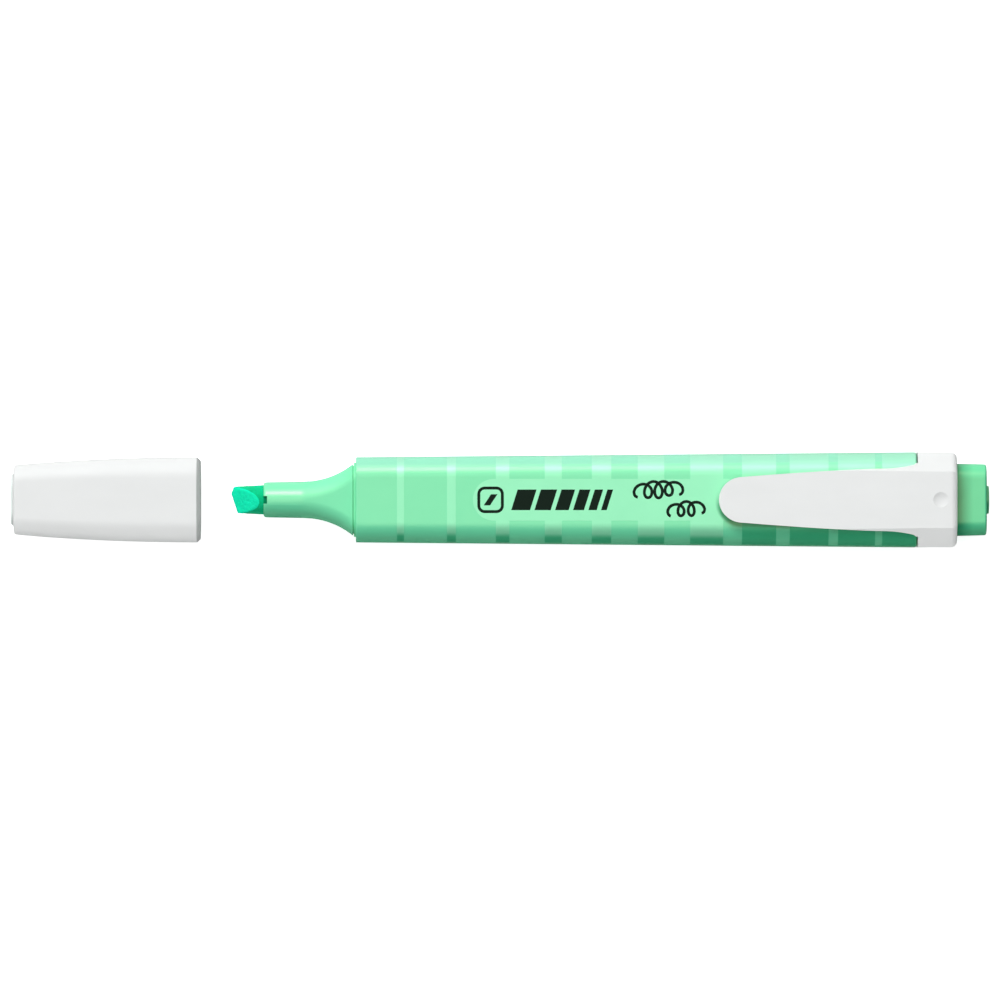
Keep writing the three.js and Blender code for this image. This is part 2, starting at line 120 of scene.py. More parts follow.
class HighlighterCap(bpy.types.PropertyGroup):
    """Sizes of the cap and the seal inside it"""

    end_width: length("End width", 11.8, "Width of the cap where its closed end starts")
    end_height: length("End height", 9.4, "Thickness of the cap where its closed end starts")
    corner: length("Corner", 3.6, "Radius of the section's corners at the mouth")
    wall: length("Wall", 0.83, "Thickness of the side walls")
    end_wall: length("End wall", 1.2, "Thickness of the closed end")
    rim: length("Rim", 0.2, "Height of the end's rise round the window")
    edge: length("End edge", 0.35, "Rounding between the end and the side walls")
    lip: length("Lip", 0.6, "Length of the bevel outside the mouth")
    lip_depth: length("Lip depth", 0.62, "Depth of the bevel outside the mouth")
    lip_inside: length("Inner lip", 0.18, "Rounding inside the mouth")
    window_width: length("Window width", 8.75, "Width of the window that the seal's boss fills")
    window_height: length("Window height", 5.75, "Height of that window")
    boss_width: length("Boss width", 8.6, "Width of the boss in the cap's end")
    boss_height: length("Boss height", 5.6, "Height of the boss in the cap's end")
    boss_corner: length("Boss corner", 2.2, "Radius of the boss's corners")
    boss_edge: length("Boss edge", 0.25, "Rounding of the boss's face")
    boss_length: length("Boss length", 2.03, "From the boss's face to the plate that stops it")
    plate: length("Plate", 1.75, "Thickness of that plate")
    shoulder_width: length("Shoulder width", 9.0, "Width of the plate that stops the boss")
    shoulder_height: length("Shoulder height", 6.5, "Height of the plate that stops the boss")
    post: length("Post", 4.4, "Diameter of the post between the boss and the seal")
    post_round: length("Post rounding", 1.1, "Length of the rounding from the post to the seal")
    seal_floor: length("Seal floor", 9.78, "From the boss's face to the widest part of the floor")
    seal_outside: length("Seal outside", 7.8, "Outer diameter of the seal")
    seal_bore: length("Seal bore", 6.5, "Inner diameter of the seal")
    taper_power: bpy.props.FloatProperty(
        name="Taper", description="How suddenly the cap narrows towards its end", default=2.1
    )


class HighlighterNose(bpy.types.PropertyGroup):
    """Sizes of the nose section and the nib"""

    tube: length("Tube", 6.0, "Diameter of the nose tube behind its lip")
    tube_rear: length("Tube rear", 6.2, "Diameter of the nose tube where it starts to flare")
    lip: length("Lip", 5.44, "Diameter of the front face")
    lip_round: length("Lip rounding", 0.65, "Length of the lip's rounding")
    bore: length("Bore", 5.24, "Diameter of the bore that holds the nib")
    tube_length: length("Tube length", 6.63, "From the front face to the start of the flare")
    flare_length: length("Flare length", 8.54, "From the start of the flare to its wide end")
    flare_width: length("Flare width", 12.16, "Width of the flare's wide end")
    flare_height: length("Flare height", 8.5, "Height of the flare's wide end")
    flare_corner: length("Flare corner", 3.0, "Radius of the corners of the flare's wide end")
    groove: length("Groove", 0.3, "Depth of the groove between the flare and the ring")
    groove_length: length("Groove length", 0.2, "Width of that groove")
    ring_width: length("Ring width", 12.6, "Width of the ring that meets the barrel")
    ring_height: length("Ring height", 8.9, "Height of the ring that meets the barrel")
    spigot_width: length("Spigot width", 11.7, "Width of the spigot inside the barrel")
    spigot_height: length("Spigot height", 8.0, "Height of the spigot inside the barrel")
    spigot_wall: length("Spigot wall", 1.1, "Wall of the spigot")
    vent_width: length("Vent width", 1.27, "Width of the two vents in the lip")
    vent_length: length("Vent length", 0.62, "Length of the two vents in the lip")
    nib_rod: length("Nib rod", 5.0, "Diameter of the nib where it leaves the nose")
    nib_front: length("Nib front", 4.34, "Diameter of the nib at its writing edge")
    nib_edge: length("Nib edge", 0.7, "Thickness of the writing edge")
    nib_corner: length("Nib corner", 1.04, "Where across the nib its long edge meets the short cut")
    nib_slope: slant("Facet slope", 28.5, "Angle between a chisel facet and the nib's middle")
    nib_skew: slant("Edge skew", 18.1, "How far the writing edge leans away from square")
    nib_cut: slant("Corner cut", 22, "How far the short cut at the tip leans the other way")
    nib_voxel: length("Felt detail", 0.11, "Size of the finest detail in the felt's surface")
    nib_grain: length("Felt grain", 0.35, "Size of the felt's grain")
    nib_rough: length("Felt roughness", 0.09, "Height of the felt's grain")


class HighlighterBarrel(bpy.types.PropertyGroup):
    """Sizes of the barrel and the plug in its rear"""

    front_width: length("Front width", 14.5, "Width of the barrel at its front")
    corner: length("Corner", 3.5, "Radius of the section's corners at the front")
    lip: length("Lip", 0.16, "Rounding of the front edge")
    shoulder_edge: length("Shoulder edge", 0.35, "Rounding of the rear shoulder")
    neck_length: length("Neck length", 5.6, "Length of the neck under the collar")
    neck_width: length("Neck width", 12.9, "Width of the neck")
    neck_height: length("Neck height", 9.0, "Height of the neck")
    neck_wall: length("Neck wall", 0.9, "Wall of the neck")
    neck_edge: length("Neck edge", 0.3, "Rounding of the neck's end")
    neck_depth: length("Neck depth", 2.4, "How far the neck's bore goes on inside the shoulder")
    wall: length("Wall", 1.3, "Wall of the barrel")
    head_width: length("Plug width", 12.3, "Width of the plug's head beside the collar")
    head_end_width: length("Plug end width", 12.08, "Width of the plug's head at its end")
    head_height: length("Plug height", 8.5, "Height of the plug's head")
    head_length: length("Plug length", 5.02, "Length of the plug's head")
    head_corner: length("Plug corner", 2.6, "Radius of the plug's long corners")
    head_edge: length("Plug edge", 0.4, "Rounding of the plug's end")
    stub: length("Stub", 4.75, "Diameter of the stub on the plug's end")
    skirt_width: length("Skirt width", 10.85, "Width of the plug's skirt inside the neck")
    skirt_height: length("Skirt height", 6.95, "Height of the plug's skirt inside the neck")
    skirt_depth: length("Skirt depth", 9.5, "Depth of the hollow in the skirt")


class HighlighterClip(bpy.types.PropertyGroup):
    """Sizes of the clip and its collar"""

    shoulder: length("Shoulder", 3.3, "Run of the slanted shoulders on each side of the top")
    corner: length("Corner", 3.7, "Radius of the collar's lower corners")
    rear_round: length("Rear rounding", 1.05, "Rounding of the collar's rear edge")
    thickness: length("Thickness", 1.45, "Thickness of the tongue")
    droop: length("Droop", 0.42, "How much lower the tip's top is than the root's")
    tip_width: length("Tip width", 7.76, "Width of the tongue where its round end starts")
    tip_length: length("Tip length", 4.05, "Length of the tongue's round end")
    root_width: length("Root width", 10.6, "Width of the tongue before it flares into the collar")
    flare_width: length("Flare width", 11.9, "Width of the tongue where it meets the collar")
    flare_length: length("Flare length", 5.4, "Length of that flare")
    fillet: length("Fillet", 0.7, "Rounding between the tongue's sides and the collar's front")
    edge: length("Edge", 0.35, "Rounding of the moulding's edges")
    bend: length("Bend", 9.0, "Length of the root that bends when the clip is lifted")
    dimple: length("Dimple", 2.6, "Diameter of the dimple")
    dimple_depth: length("Dimple depth", 0.3, "Depth of the dimple")
    dimple_place: length("Dimple place", 3.8, "From the collar's front to the dimple's middle")
    grip: length("Pocket grip", 1.3, "Radius of the bar under the tip that grips a pocket")
    grip_place: length("Grip place", 3.85, "From the tip to the grip's middle")
    grip_height: length("Grip height", 0.75, "From the tongue's lowest place to the grip's middle")
    bore_gap: length("Bore gap", 0.1, "Gap between the barrel's neck and the collar")
    bore_corner: length("Bore corner", 2.8, "Radius of the corners of the collar's bore")
    rear_wall: length("Rear wall", 0.9, "Thickness of the collar's rear wall")
    window_width: length("Window width", 11.4, "Width of the hole in the rear wall")
    window_height: length("Window height", 7.6, "Height of the hole in the rear wall")
    window_corner: length("Window corner", 2.4, "Radius of that hole's corners")


class HighlighterMarks(bpy.types.PropertyGroup):
    """Sizes of the dark print on the barrel"""

    frame_place: length("Frame place", -1.6, "Where along the pen the framed stroke is")
    frame_side: length("Frame side", 4.5, "Side of the rounded frame")
    frame_line: length("Frame line", 0.5, "Width of the frame's line")
    row_start: length("Row start", 1.9, "Where along the pen the row of strokes starts")
    row_height: length("Row height", 3.5, "Height of the strokes in the row")
    row_lean: length("Row lean", 1.1, "How far the top of a stroke leans forward")
    row_widest: length("Widest stroke", 3.2, "Width of the row's first stroke")
    row_narrowest: length("Narrowest stroke", 0.95, "Width of the row's last stroke")
    row_gap: length("Row gap", 0.75, "Gap between the strokes in the row")
    row_count: bpy.props.IntProperty(
        name="Strokes", description="Number of strokes in the row", default=6, min=2
    )
    scribble_line: length("Scribble line", 0.5, "Width of the scribbles' line")


class HighlighterColours(bpy.types.PropertyGroup):
    """Colours of the plastics, the ink and the print, and of the painted shade and highlight"""

    mint: paint("Mint", (0.156, 0.735, 0.415), "Plastic of the barrel, nose and plug")
    mint_print: paint("Light mint", (0.255, 0.790, 0.480), "Ink of the light bands on the barrel")
    # painted shade: the light ink's colour where the low shoulder and the clip's shadow darken it
    painted_shade_ink: paint("Deep mint", (0.050, 0.600, 0.290), "That ink on the barrel's low shoulder")
    # painted highlight: mixed into mint and print on the upper shoulder
    painted_highlight_mint: paint("Pale mint", (0.420, 0.450, 0.620), "Mixed into the upper shoulder's print")
    # painted shade: the plug's mint is a darker copy of the barrel's, for the plug's place beside
    # the taller collar
    plug: paint("Plug mint", (0.100, 0.635, 0.325), "Plastic of the end plug")
    # painted shade: the deep mint that darkens the plug beside the collar and at its end, and the
    # print where the clip's tip casts its shadow
    painted_shade_mint: paint("Painted shade mint", (0.012, 0.320, 0.150), "Plug and print where dust gathers")
    white: paint("White", (0.76, 0.775, 0.77), "Plastic of the cap and clip")
    natural: paint("Natural", (0.70, 0.77, 0.745), "Uncoloured plastic of the seal")
    felt: paint("Felt", (0.001, 0.550, 0.240), "Nib where the ink has soaked it")
    felt_facet: paint("Facet", (0.006, 0.900, 0.520), "Freshly cut felt on the nib's facets")
    mark: paint("Mark", (0.003, 0.012, 0.006), "Dark print on the barrel")


# Modelling by rings: a ring is (x, width, height) in metres, square to the pen and on its axis


def select_by(kind, test):
    """In edit mode, selects only the vertices, edges or faces that pass the test."""
    bpy.ops.mesh.select_mode(type=kind)
    bpy.ops.mesh.select_all(action="DESELECT")
    mesh = bpy.context.object.data
    shape = bmesh.from_edit_mesh(mesh)
    chosen = {"VERT": shape.verts, "EDGE": shape.edges, "FACE": shape.faces}[kind]
    for element in chosen:
        element.select_set(bool(test(element)))
    shape.select_flush_mode()
    bmesh.update_edit_mesh(mesh)


def lies_at(edge, x):
    """Whether an edge lies square to the pen at this place along it."""
    return all(abs(corner.co.x - x) < TOUCH for corner in edge.verts)


def select_outlines(*places):
    """In edit mode, selects only the open outlines at these places along the pen."""
    select_by("EDGE", lambda edge: edge.is_boundary and any(lies_at(edge, x) for x in places))


def stop_editing():
    """Goes back to object mode."""
    bpy.ops.object.mode_set(mode="OBJECT")


def settle_primitive(name):
    """Names a primitive that was just added, puts its place in its mesh and opens it for editing."""
    piece = bpy.context.object
    piece.name = piece.data.name = name
    bpy.ops.object.transform_apply(location=True, rotation=True, scale=True)
    bpy.ops.object.mode_set(mode="EDIT")
    bpy.ops.mesh.select_all(action="SELECT")
    return piece


def deselect():
    """Deselects everything, in either mode."""
    if bpy.context.mode == "EDIT_MESH":
        bpy.ops.mesh.select_mode(type="VERT")
        bpy.ops.mesh.select_all(action="DESELECT")
    else:
        bpy.ops.object.select_all(action="DESELECT")


def add_piece(name, add_primitive, **settings):
    """Adds a primitive, as a new piece or to the one being edited, and leaves it selected."""
    editing = bpy.context.mode == "EDIT_MESH"
    deselect()
    add_primitive(**settings)
    return bpy.context.object if editing else settle_primitive(name)


def resize(value, centre):
    """Scales the selection about a point."""
    bpy.ops.transform.resize(value=value, center_override=centre)


def extrude_by(*offset):
    """Extrudes the selection along x, y and z."""
    bpy.ops.mesh.extrude_region_move(TRANSFORM_OT_translate={"value": offset})


def start_section(name, ring, corner):
    """Draws a rounded rectangle's outline, as a new piece or in the one being edited."""
    x, width, height = ring
    centre = (x, 0, AXIS_Z)
    add_plane = bpy.ops.mesh.primitive_plane_add
    piece = add_piece(name, add_plane, size=1, location=centre, rotation=ACROSS)
    resize((1, width, height), centre)
    bpy.ops.mesh.bevel(affect="VERTICES", offset=corner, segments=CORNER_STEPS)
    bpy.ops.mesh.delete(type="ONLY_FACE")
    select_by("EDGE", lambda edge: lies_at(edge, x))
    return piece


def start_circle(name, ring):
    """Draws a circle's outline, as a new piece or in the one being edited."""
    x, diameter, _ = ring
    centre = (x, 0, AXIS_Z)
    piece = add_piece(
        name,
        bpy.ops.mesh.primitive_circle_add,
        vertices=RING_POINTS,
        radius=diameter / 2,
        fill_type="NOTHING",
        location=centre,
        rotation=ACROSS,
    )
    half_step = HALF_TURN / RING_POINTS
    bpy.ops.transform.rotate(value=half_step, orient_axis="X", center_override=centre)
    return piece


def extrude_rings(ring, rings):
    """Extrudes the selected outline, which has the first ring's size, through the others."""
    x, width, height = ring
    for next_x, next_width, next_height in rings:
        extrude_by(next_x - x, 0, 0)
        resize((1, next_width / width, next_height / height), (next_x, 0, AXIS_Z))
        x, width, height = next_x, next_width, next_height


def round_ring(x, diameter):
    """A ring as wide as it is high."""
    return x, diameter, diameter


def quarter(steps):
    """Angles from none to a quarter turn, in even steps."""
    return [QUARTER_TURN * step / steps for step in range(steps + 1)]


def rounded_edge(face, side, width, height, hole=False):
    """Rings of a quarter round from an end face at x = face to side walls at x = side."""
    radius = side - face
    growth = 2 * abs(radius) * (1 if hole else -1)
    rings = []
    for angle in quarter(EDGE_STEPS):
        grow = growth * (1 - math.sin(angle))
        rings.append((side - radius * math.cos(angle), width + grow, height + grow))
    return rings


def mix(start, end, share):
    """The value that lies that share of the way from start to end."""
    return start + (end - start) * share


def close_outline():
    """Fills the selected outline with a face."""
    bpy.ops.mesh.edge_face_add()


def clean_mesh(piece):
    """Merges doubles, turns all faces outwards and leaves edit mode."""
    if bpy.context.mode == "EDIT_MESH":
        stop_editing()
    bpy.ops.object.select_all(action="DESELECT")
    piece.select_set(True)
    bpy.context.view_layer.objects.active = piece
    bpy.ops.object.mode_set(mode="EDIT")
    bpy.ops.mesh.select_mode(type="VERT")
    bpy.ops.mesh.select_all(action="SELECT")
    bpy.ops.mesh.remove_doubles(threshold=TOUCH)
    bpy.ops.mesh.normals_make_consistent(inside=False)
    stop_editing()


def apply_modifier(piece, kind, **settings):
    """Adds a modifier to the piece, sets it and applies it."""
    bpy.context.view_layer.objects.active = piece
    modifier = piece.modifiers.new(kind.title(), kind)
    for field, value in settings.items():
        setattr(modifier, field, value)
    bpy.ops.object.modifier_apply(modifier=modifier.name)


def cut_with(piece, tool, operation):
    """Joins, cuts or crosses the piece with a tool, which is then removed."""
    clean_mesh(tool)
    clean_mesh(piece)
    apply_modifier(piece, "BOOLEAN", operation=operation, object=tool, solver="EXACT")
    bpy.data.objects.remove(tool)


def smooth_piece(piece, degrees=32):
    """Shades the piece smooth between sharp edges, with its flat faces kept flat."""
    clean_mesh(piece)
    bpy.ops.object.shade_smooth_by_angle(angle=math.radians(degrees))
    apply_modifier(piece, "WEIGHTED_NORMAL", keep_sharp=True, weight=60)


def fit_piece(piece, material, body, slot, *nodes):
    """Gives the piece its material and its body, and hides the nodes that it stands for."""
    piece.data.materials.clear()
    piece.data.materials.append(bpy.data.materials[material])
    if nodes:
        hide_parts(*nodes)
    if body:
        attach(piece, body)


def add_box(name, low, high):
    """A box between two corners, open for editing."""
    centre = [(a + b) / 2 for a, b in zip(low, high)]
    piece = add_piece(name, bpy.ops.mesh.primitive_cube_add, size=1, location=centre)
    resize([b - a for a, b in zip(low, high)], centre)
    return piece


# Materials

PLASTIC_IOR = 1.49
PEARL_TINT = (1.0, 1.0, 0.5, 1.0)  # colour of the gloss on the pearly mint plastic
SCATTER_DEPTH = 0.8 * MM  # how far light goes into white plastic and felt
GRAIN_DEPTH = 4e-6
FINE_GRAIN, SLOW_WAVES, GLOSS_PATCHES, FLOW_MARKS = 2600, 130, 420, 210  # features in each metre
WAVE_SHARE = 1.6  # height of the slow waves beside the fine grain
LIP_SHADE = 0.67  # brightness of the painted shade on the bevel round the cap's mouth beside the cap's
FLARE_MATTNESS = 0.25  # added to the gloss of the tube
PLUG_SHADE_REACH = 2.8 * MM  # how far from the collar the painted shade reaches on the plug
STUB_UNSHADED_SHARE = 0.45  # how much of the plain colour the plug's end and stub keep under the painted shade

# The light print on the barrel. Where each band starts and ends, in millimetres behind the
# barrel's front: they widen and their gaps narrow towards the clip.
BANDS = (
    (7.0, 8.2),
    (15.5, 17.0),
    (23.8, 26.1),
    (32.1, 35.0),
    (40.1, 43.4),
    (47.9, 52.4),
    (56.8, 62.4),
    (65.6, 71.4),
    (73.7, 80.3),
    (81.9, 88.2),
    (89.4, 96.0),
)
PANEL_START = 19.9  # where the light panel under the marks starts, in the same way
PANEL_HALF_WIDTH = 3.55
PRINT_RISE = 1.5  # height of the print beside the fine grain
SHOULDER_EDGE = (0.35 * MM, 0.12 * MM)  # in from the low edge, where the painted shade on the ink ends outwards, leaving a painted rim of light
SHOULDER_SIDE = (1.0 * MM, 2.0 * MM)  # and where it ends inwards
CLIP_SHADOW_START = (1.0 * MM, 2.5 * MM)  # behind the clip's tip, where the painted shade widens into the clip's shadow
CLIP_SHADOW_WIDTH = 5 * MM
UPPER_HIGHLIGHT = (1.9 * MM, 1.4 * MM)  # in from the upper edge, where the painted highlight starts
UPPER_HIGHLIGHT_SHARE = 0.25
TIP_SHADOW_DROP = 0.4 * MM  # how far the painted shadow along the clip's tip lies towards the low side
TIP_SHADOW_REACH = 1.18  # its size beside the tip's
TIP_SHADOW_FADE = (1.5 * MM, -2.5 * MM)  # across the pen, where it starts and is full


def add_node(tree, kind, inputs=None, **settings):
    """Adds a shader node, sets its fields, and fills or links its inputs."""
    node = tree.nodes.new(kind)
    for field, value in settings.items():
        setattr(node, field, value)
    for socket, value in (inputs or {}).items():
        if isinstance(value, bpy.types.NodeSocket):
            tree.links.new(value, node.inputs[socket])
        else:
            node.inputs[socket].default_value = value
    return node


def calculate(tree, operation, first, second=0.0, third=0.0):
    """A Math node's result."""
    inputs = {0: first, 1: second, 2: third}
    return add_node(tree, "ShaderNodeMath", inputs, operation=operation).outputs[0]


def ramp(tree, value, start, end, low=0.0, high=1.0, smooth=False):
    """A value that goes from low to high while the given one goes from start to end."""
    inputs = {"Value": value, "From Min": start, "From Max": end, "To Min": low, "To Max": high}
    kind = "SMOOTHSTEP" if smooth else "LINEAR"
    return add_node(tree, "ShaderNodeMapRange", inputs, interpolation_type=kind).outputs["Result"]


def blend_colours(tree, share, first, second):
    """The colour that lies that share of the way from first to second."""
    node = add_node(tree, "ShaderNodeMix", data_type="RGBA")
    by_name = {"Factor_Float": share, "A_Color": first, "B_Color": second}
    for socket in node.inputs:
        value = by_name.get(socket.identifier)
        if isinstance(value, bpy.types.NodeSocket):
            tree.links.new(value, socket)
        elif value is not None:
            socket.default_value = (*value, 1)
    return node.outputs[2]


def noise(tree, place, scale, detail=3.0, roughness=0.5):
    """A noise pattern from 0 to 1, with features about 1 / scale metres across."""
    inputs = {"Vector": place, "Scale": scale, "Detail": detail, "Roughness": roughness}
    return add_node(tree, "ShaderNodeTexNoise", inputs).outputs["Fac"]


def spread(tree, value, low, high):
    """Stretches a 0 to 1 pattern to run from low to high."""
    return ramp(tree, value, 0.25, 0.75, low, high)


def split(tree, place):
    """The X, Y and Z of a place."""
    return add_node(tree, "ShaderNodeSeparateXYZ", {"Vector": place}).outputs


def drawn_out(tree, place, share):
    """The place for a pattern that is drawn out along the pen."""
    inputs = {"Vector": place, "Scale": (share, 1.0, 1.0)}
    return add_node(tree, "ShaderNodeMapping", inputs).outputs["Vector"]


def start_material(name):
    """A new material's tree, its shader and the place on the piece."""
    material = bpy.data.materials.new(name)
    material.use_nodes = True
    tree = material.node_tree
    place = add_node(tree, "ShaderNodeTexCoord").outputs["Object"]
    return tree, tree.nodes["Principled BSDF"], place


def fill_sockets(shader, values):
    """Sets the shader's own sockets."""
    for socket, value in values.items():
        shader.inputs[socket].default_value = value


def emboss(tree, shader, height, depth, strength=1.0):
    """Bumps the shader by a height pattern, depth metres deep."""
    inputs = {"Height": height, "Distance": depth, "Strength": strength}
    bump = add_node(tree, "ShaderNodeBump", inputs)
    tree.links.new(bump.outputs["Normal"], shader.inputs["Normal"])


def mould_marks(tree, place):
    """Height and gloss of moulded plastic: a fine die texture over slow waves, and patches."""
    fine = noise(tree, place, FINE_GRAIN, 2)
    waves = noise(tree, place, SLOW_WAVES, 2)
    height = calculate(tree, "MULTIPLY_ADD", waves, WAVE_SHARE, fine)
    return height, noise(tree, place, GLOSS_PATCHES, 4)


def tinted(tree, place, colour, amount=0.035):
    """The colour with faint flow marks from moulding."""
    streaks = noise(tree, drawn_out(tree, place, 0.35), FLOW_MARKS, 4)
    darker = [channel * (1 - amount) for channel in colour]
    return blend_colours(tree, spread(tree, streaks, 0.0, 1.0), darker, colour)


def plastic_material(name, colour, low, high, pearl=0.0, scatter=0.0, shine=0.5):
    """Satin moulded plastic of one colour, with some pearl in it or letting light through it."""
    tree, shader, place = start_material(name)
    tree.links.new(tinted(tree, place, colour), shader.inputs["Base Color"])
    fixed = {
        "IOR": PLASTIC_IOR,
        "Specular IOR Level": shine,
        "Metallic": pearl,
        "Subsurface Weight": scatter,
        "Subsurface Scale": SCATTER_DEPTH,
        "Subsurface Radius": (1, 1, 1),
    }
    fill_sockets(shader, fixed)
    if pearl:
        fill_sockets(shader, {"Specular Tint": PEARL_TINT})
    height, gloss = mould_marks(tree, place)
    tree.links.new(spread(tree, gloss, low, high), shader.inputs["Roughness"])
    emboss(tree, shader, height, GRAIN_DEPTH)
    clean = shader.inputs["Base Color"].links[0].from_socket
    return tree, shader, split(tree, place)["X"], clean


def cap_material(colours):
    """The cap's white plastic, with painted shade on the bevel round its mouth."""
    tree, shader, along, clean = plastic_material(
        "cap_white", colours.white, 0.34, 0.44, scatter=0.1
    )
    bevel = CAP_HIGH[0] - bpy.context.scene.highlighter_cap.lip
    share = ramp(tree, along, bevel - 0.02 * MM, bevel + 0.06 * MM)
    lip_shaded = [LIP_SHADE * channel for channel in colours.white]
    tree.links.new(blend_colours(tree, share, clean, lip_shaded), shader.inputs["Base Color"])


def nose_material(colours):
    """The nose's plastic, satin on the tube and matt on the flare."""
    tree, shader, along, _ = plastic_material(
        "moulded_mint", colours.mint, 0.29, 0.35, pearl=0.05, shine=1.0
    )
    gloss = shader.inputs["Roughness"].links[0].from_socket
    flare = NOSE_LOW[0] + bpy.context.scene.highlighter_nose.tube_length
    matt = ramp(tree, along, flare - 0.3 * MM, flare + 0.5 * MM, 0.0, FLARE_MATTNESS)
    tree.links.new(calculate(tree, "ADD", gloss, matt), shader.inputs["Roughness"])


def plug_material(colours):
    """The end plug's plastic, with painted shade along the collar and at its end."""
    tree, shader, along, clean = plastic_material(
        "moulded_plug", colours.plug, 0.29, 0.36, pearl=0.05, shine=1.0
    )
    collar, end = COLLAR_HIGH[0], PLUG_HIGH[0]
    # painted shade: the collar's shadow on the plug, and shade on the plug's end and stub
    beside_collar = ramp(tree, along, collar, collar + PLUG_SHADE_REACH)
    on_end = ramp(tree, along, end - 0.62 * MM, end - 0.48 * MM, 1.0, STUB_UNSHADED_SHARE)
    share = calculate(tree, "MULTIPLY", beside_collar, on_end)
    shaded = blend_colours(tree, share, colours.painted_shade_mint, clean)
    tree.links.new(shaded, shader.inputs["Base Color"])


def print_mask(tree, axes):
    """1 where the light ink is printed on the barrel, 0 elsewhere."""
    front = BARREL_LOW[0]
    bands = 0.0
    for start, end in BANDS:
        centre, half = front + (start + end) / 2 * MM, (end - start) / 2 * MM
        bands = calculate(tree, "ADD", bands, calculate(tree, "COMPARE", axes["X"], centre, half))
    round_centre = front + (PANEL_START + PANEL_HALF_WIDTH) * MM
    beyond = calculate(tree, "SUBTRACT", axes["X"], round_centre)
    before = calculate(tree, "MINIMUM", beyond, 0.0)
    squared = calculate(tree, "MULTIPLY", before, before)
    reach = calculate(tree, "MULTIPLY_ADD", axes["Y"], axes["Y"], squared)
    inside = calculate(tree, "LESS_THAN", reach, (PANEL_HALF_WIDTH * MM) ** 2)
    upper = calculate(tree, "GREATER_THAN", axes["Z"], AXIS_Z)
    return calculate(tree, "MAXIMUM", bands, calculate(tree, "MULTIPLY", inside, upper))


def tip_shadow_mask(tree, axes):
    """1 where a painted shadow darkens the print along the round end of the clip, 0 elsewhere."""
    clip = bpy.context.scene.highlighter_clip
    centre = TONGUE_LOW[0] + clip.tip_length
    ahead = calculate(tree, "MINIMUM", calculate(tree, "SUBTRACT", axes["X"], centre), 0)
    along = calculate(tree, "DIVIDE", ahead, clip.tip_length)
    lowered = calculate(tree, "ADD", axes["Y"], TIP_SHADOW_DROP)
    across = calculate(tree, "DIVIDE", lowered, clip.tip_width / 2)
    square = calculate(tree, "MULTIPLY", along, along)
    distance = calculate(tree, "SQRT", calculate(tree, "MULTIPLY_ADD", across, across, square))
    low_side = ramp(tree, axes["Y"], *TIP_SHADOW_FADE, smooth=True)
    near = ramp(tree, distance, TIP_SHADOW_REACH, 1.0, smooth=True)
    return calculate(tree, "MULTIPLY", near, low_side)


def print_colour(tree, place, axes, mask, colours):
    """Mint and light ink, with painted shade on the ink of the low shoulder and in the clip's
    shadow, a painted highlight on the upper shoulder and a painted shadow round the clip's tip.
    """
    front_half = bpy.context.scene.highlighter_barrel.front_width / 2
    widening = (COLLAR_HIGH[1] - front_half) / (COLLAR_LOW[0] - BARREL_LOW[0])
    at_middle = front_half - widening * BARREL_LOW[0]
    half = calculate(tree, "MULTIPLY_ADD", axes["X"], widening, at_middle)
    from_low = calculate(tree, "ADD", half, axes["Y"])
    from_upper = calculate(tree, "SUBTRACT", half, axes["Y"])
    # painted shade on the light ink: deep on the low shoulder and in the clip's shadow, with a
    # painted rim of light at the very edge
    start, end = (TONGUE_LOW[0] + place_behind for place_behind in CLIP_SHADOW_START)
    clip_shadow_reach = ramp(tree, axes["X"], start, end, 0.0, CLIP_SHADOW_WIDTH)
    edge = ramp(tree, from_low, *SHOULDER_EDGE, smooth=True)
    inwards = calculate(tree, "SUBTRACT", from_low, clip_shadow_reach)
    side = ramp(tree, inwards, *SHOULDER_SIDE, smooth=True)
    light = calculate(tree, "MAXIMUM", edge, side)
    ink = blend_colours(tree, light, colours.painted_shade_ink, colours.mint_print)
    printed = blend_colours(tree, mask, tinted(tree, place, colours.mint), ink)
    # painted highlight on the upper shoulder, over mint and print alike
    highlight_share = ramp(tree, from_upper, *UPPER_HIGHLIGHT, 0.0, UPPER_HIGHLIGHT_SHARE, smooth=True)
    highlighted = blend_colours(tree, highlight_share, printed, colours.painted_highlight_mint)
    # painted shadow of the clip's tip on the print
    return blend_colours(tree, tip_shadow_mask(tree, axes), highlighted, colours.painted_shade_mint)


def barrel_material(colours):
    """Mint plastic with light pearly bands and a light panel printed on it."""
    tree, shader, place = start_material("printed_mint")
    axes = split(tree, place)
    mask = print_mask(tree, axes)
    height, gloss = mould_marks(tree, place)
    linked = {
        "Base Color": print_colour(tree, place, axes, mask, colours),
        "Metallic": calculate(tree, "MULTIPLY_ADD", mask, 0.2, 0.05),
        "Roughness": calculate(tree, "MULTIPLY_ADD", mask, 0.08, spread(tree, gloss, 0.30, 0.38)),
        "Coat Weight": calculate(tree, "MULTIPLY", mask, 0.12),
    }
    for socket, value in linked.items():
        tree.links.new(value, shader.inputs[socket])
    emboss(tree, shader, calculate(tree, "MULTIPLY_ADD", mask, PRINT_RISE, height), GRAIN_DEPTH)
    fixed = {
        "IOR": PLASTIC_IOR,
        "Specular IOR Level": 1.0,
        "Specular Tint": PEARL_TINT,
        "Coat Roughness": 0.38,
    }
    fill_sockets(shader, fixed)


def facet_mask(tree, axes):
    """1 on the nib's two facets, 0 on its round body."""
    nose = bpy.context.scene.highlighter_nose
    behind = calculate(tree, "SUBTRACT", axes["X"], NIB_LOW[0])
    across = calculate(tree, "SUBTRACT", axes["Y"], nose.nib_corner)
    along = calculate(tree, "MULTIPLY", behind, math.cos(nose.nib_skew))
    depth = calculate(tree, "MULTIPLY_ADD", across, math.sin(nose.nib_skew), along)
    start = nose.nib_edge / 2 - 0.16 * MM
    facet = calculate(tree, "MULTIPLY_ADD", depth, math.tan(nose.nib_slope), start)
    height = calculate(tree, "ABSOLUTE", calculate(tree, "SUBTRACT", axes["Z"], AXIS_Z))
    return calculate(tree, "GREATER_THAN", height, facet)


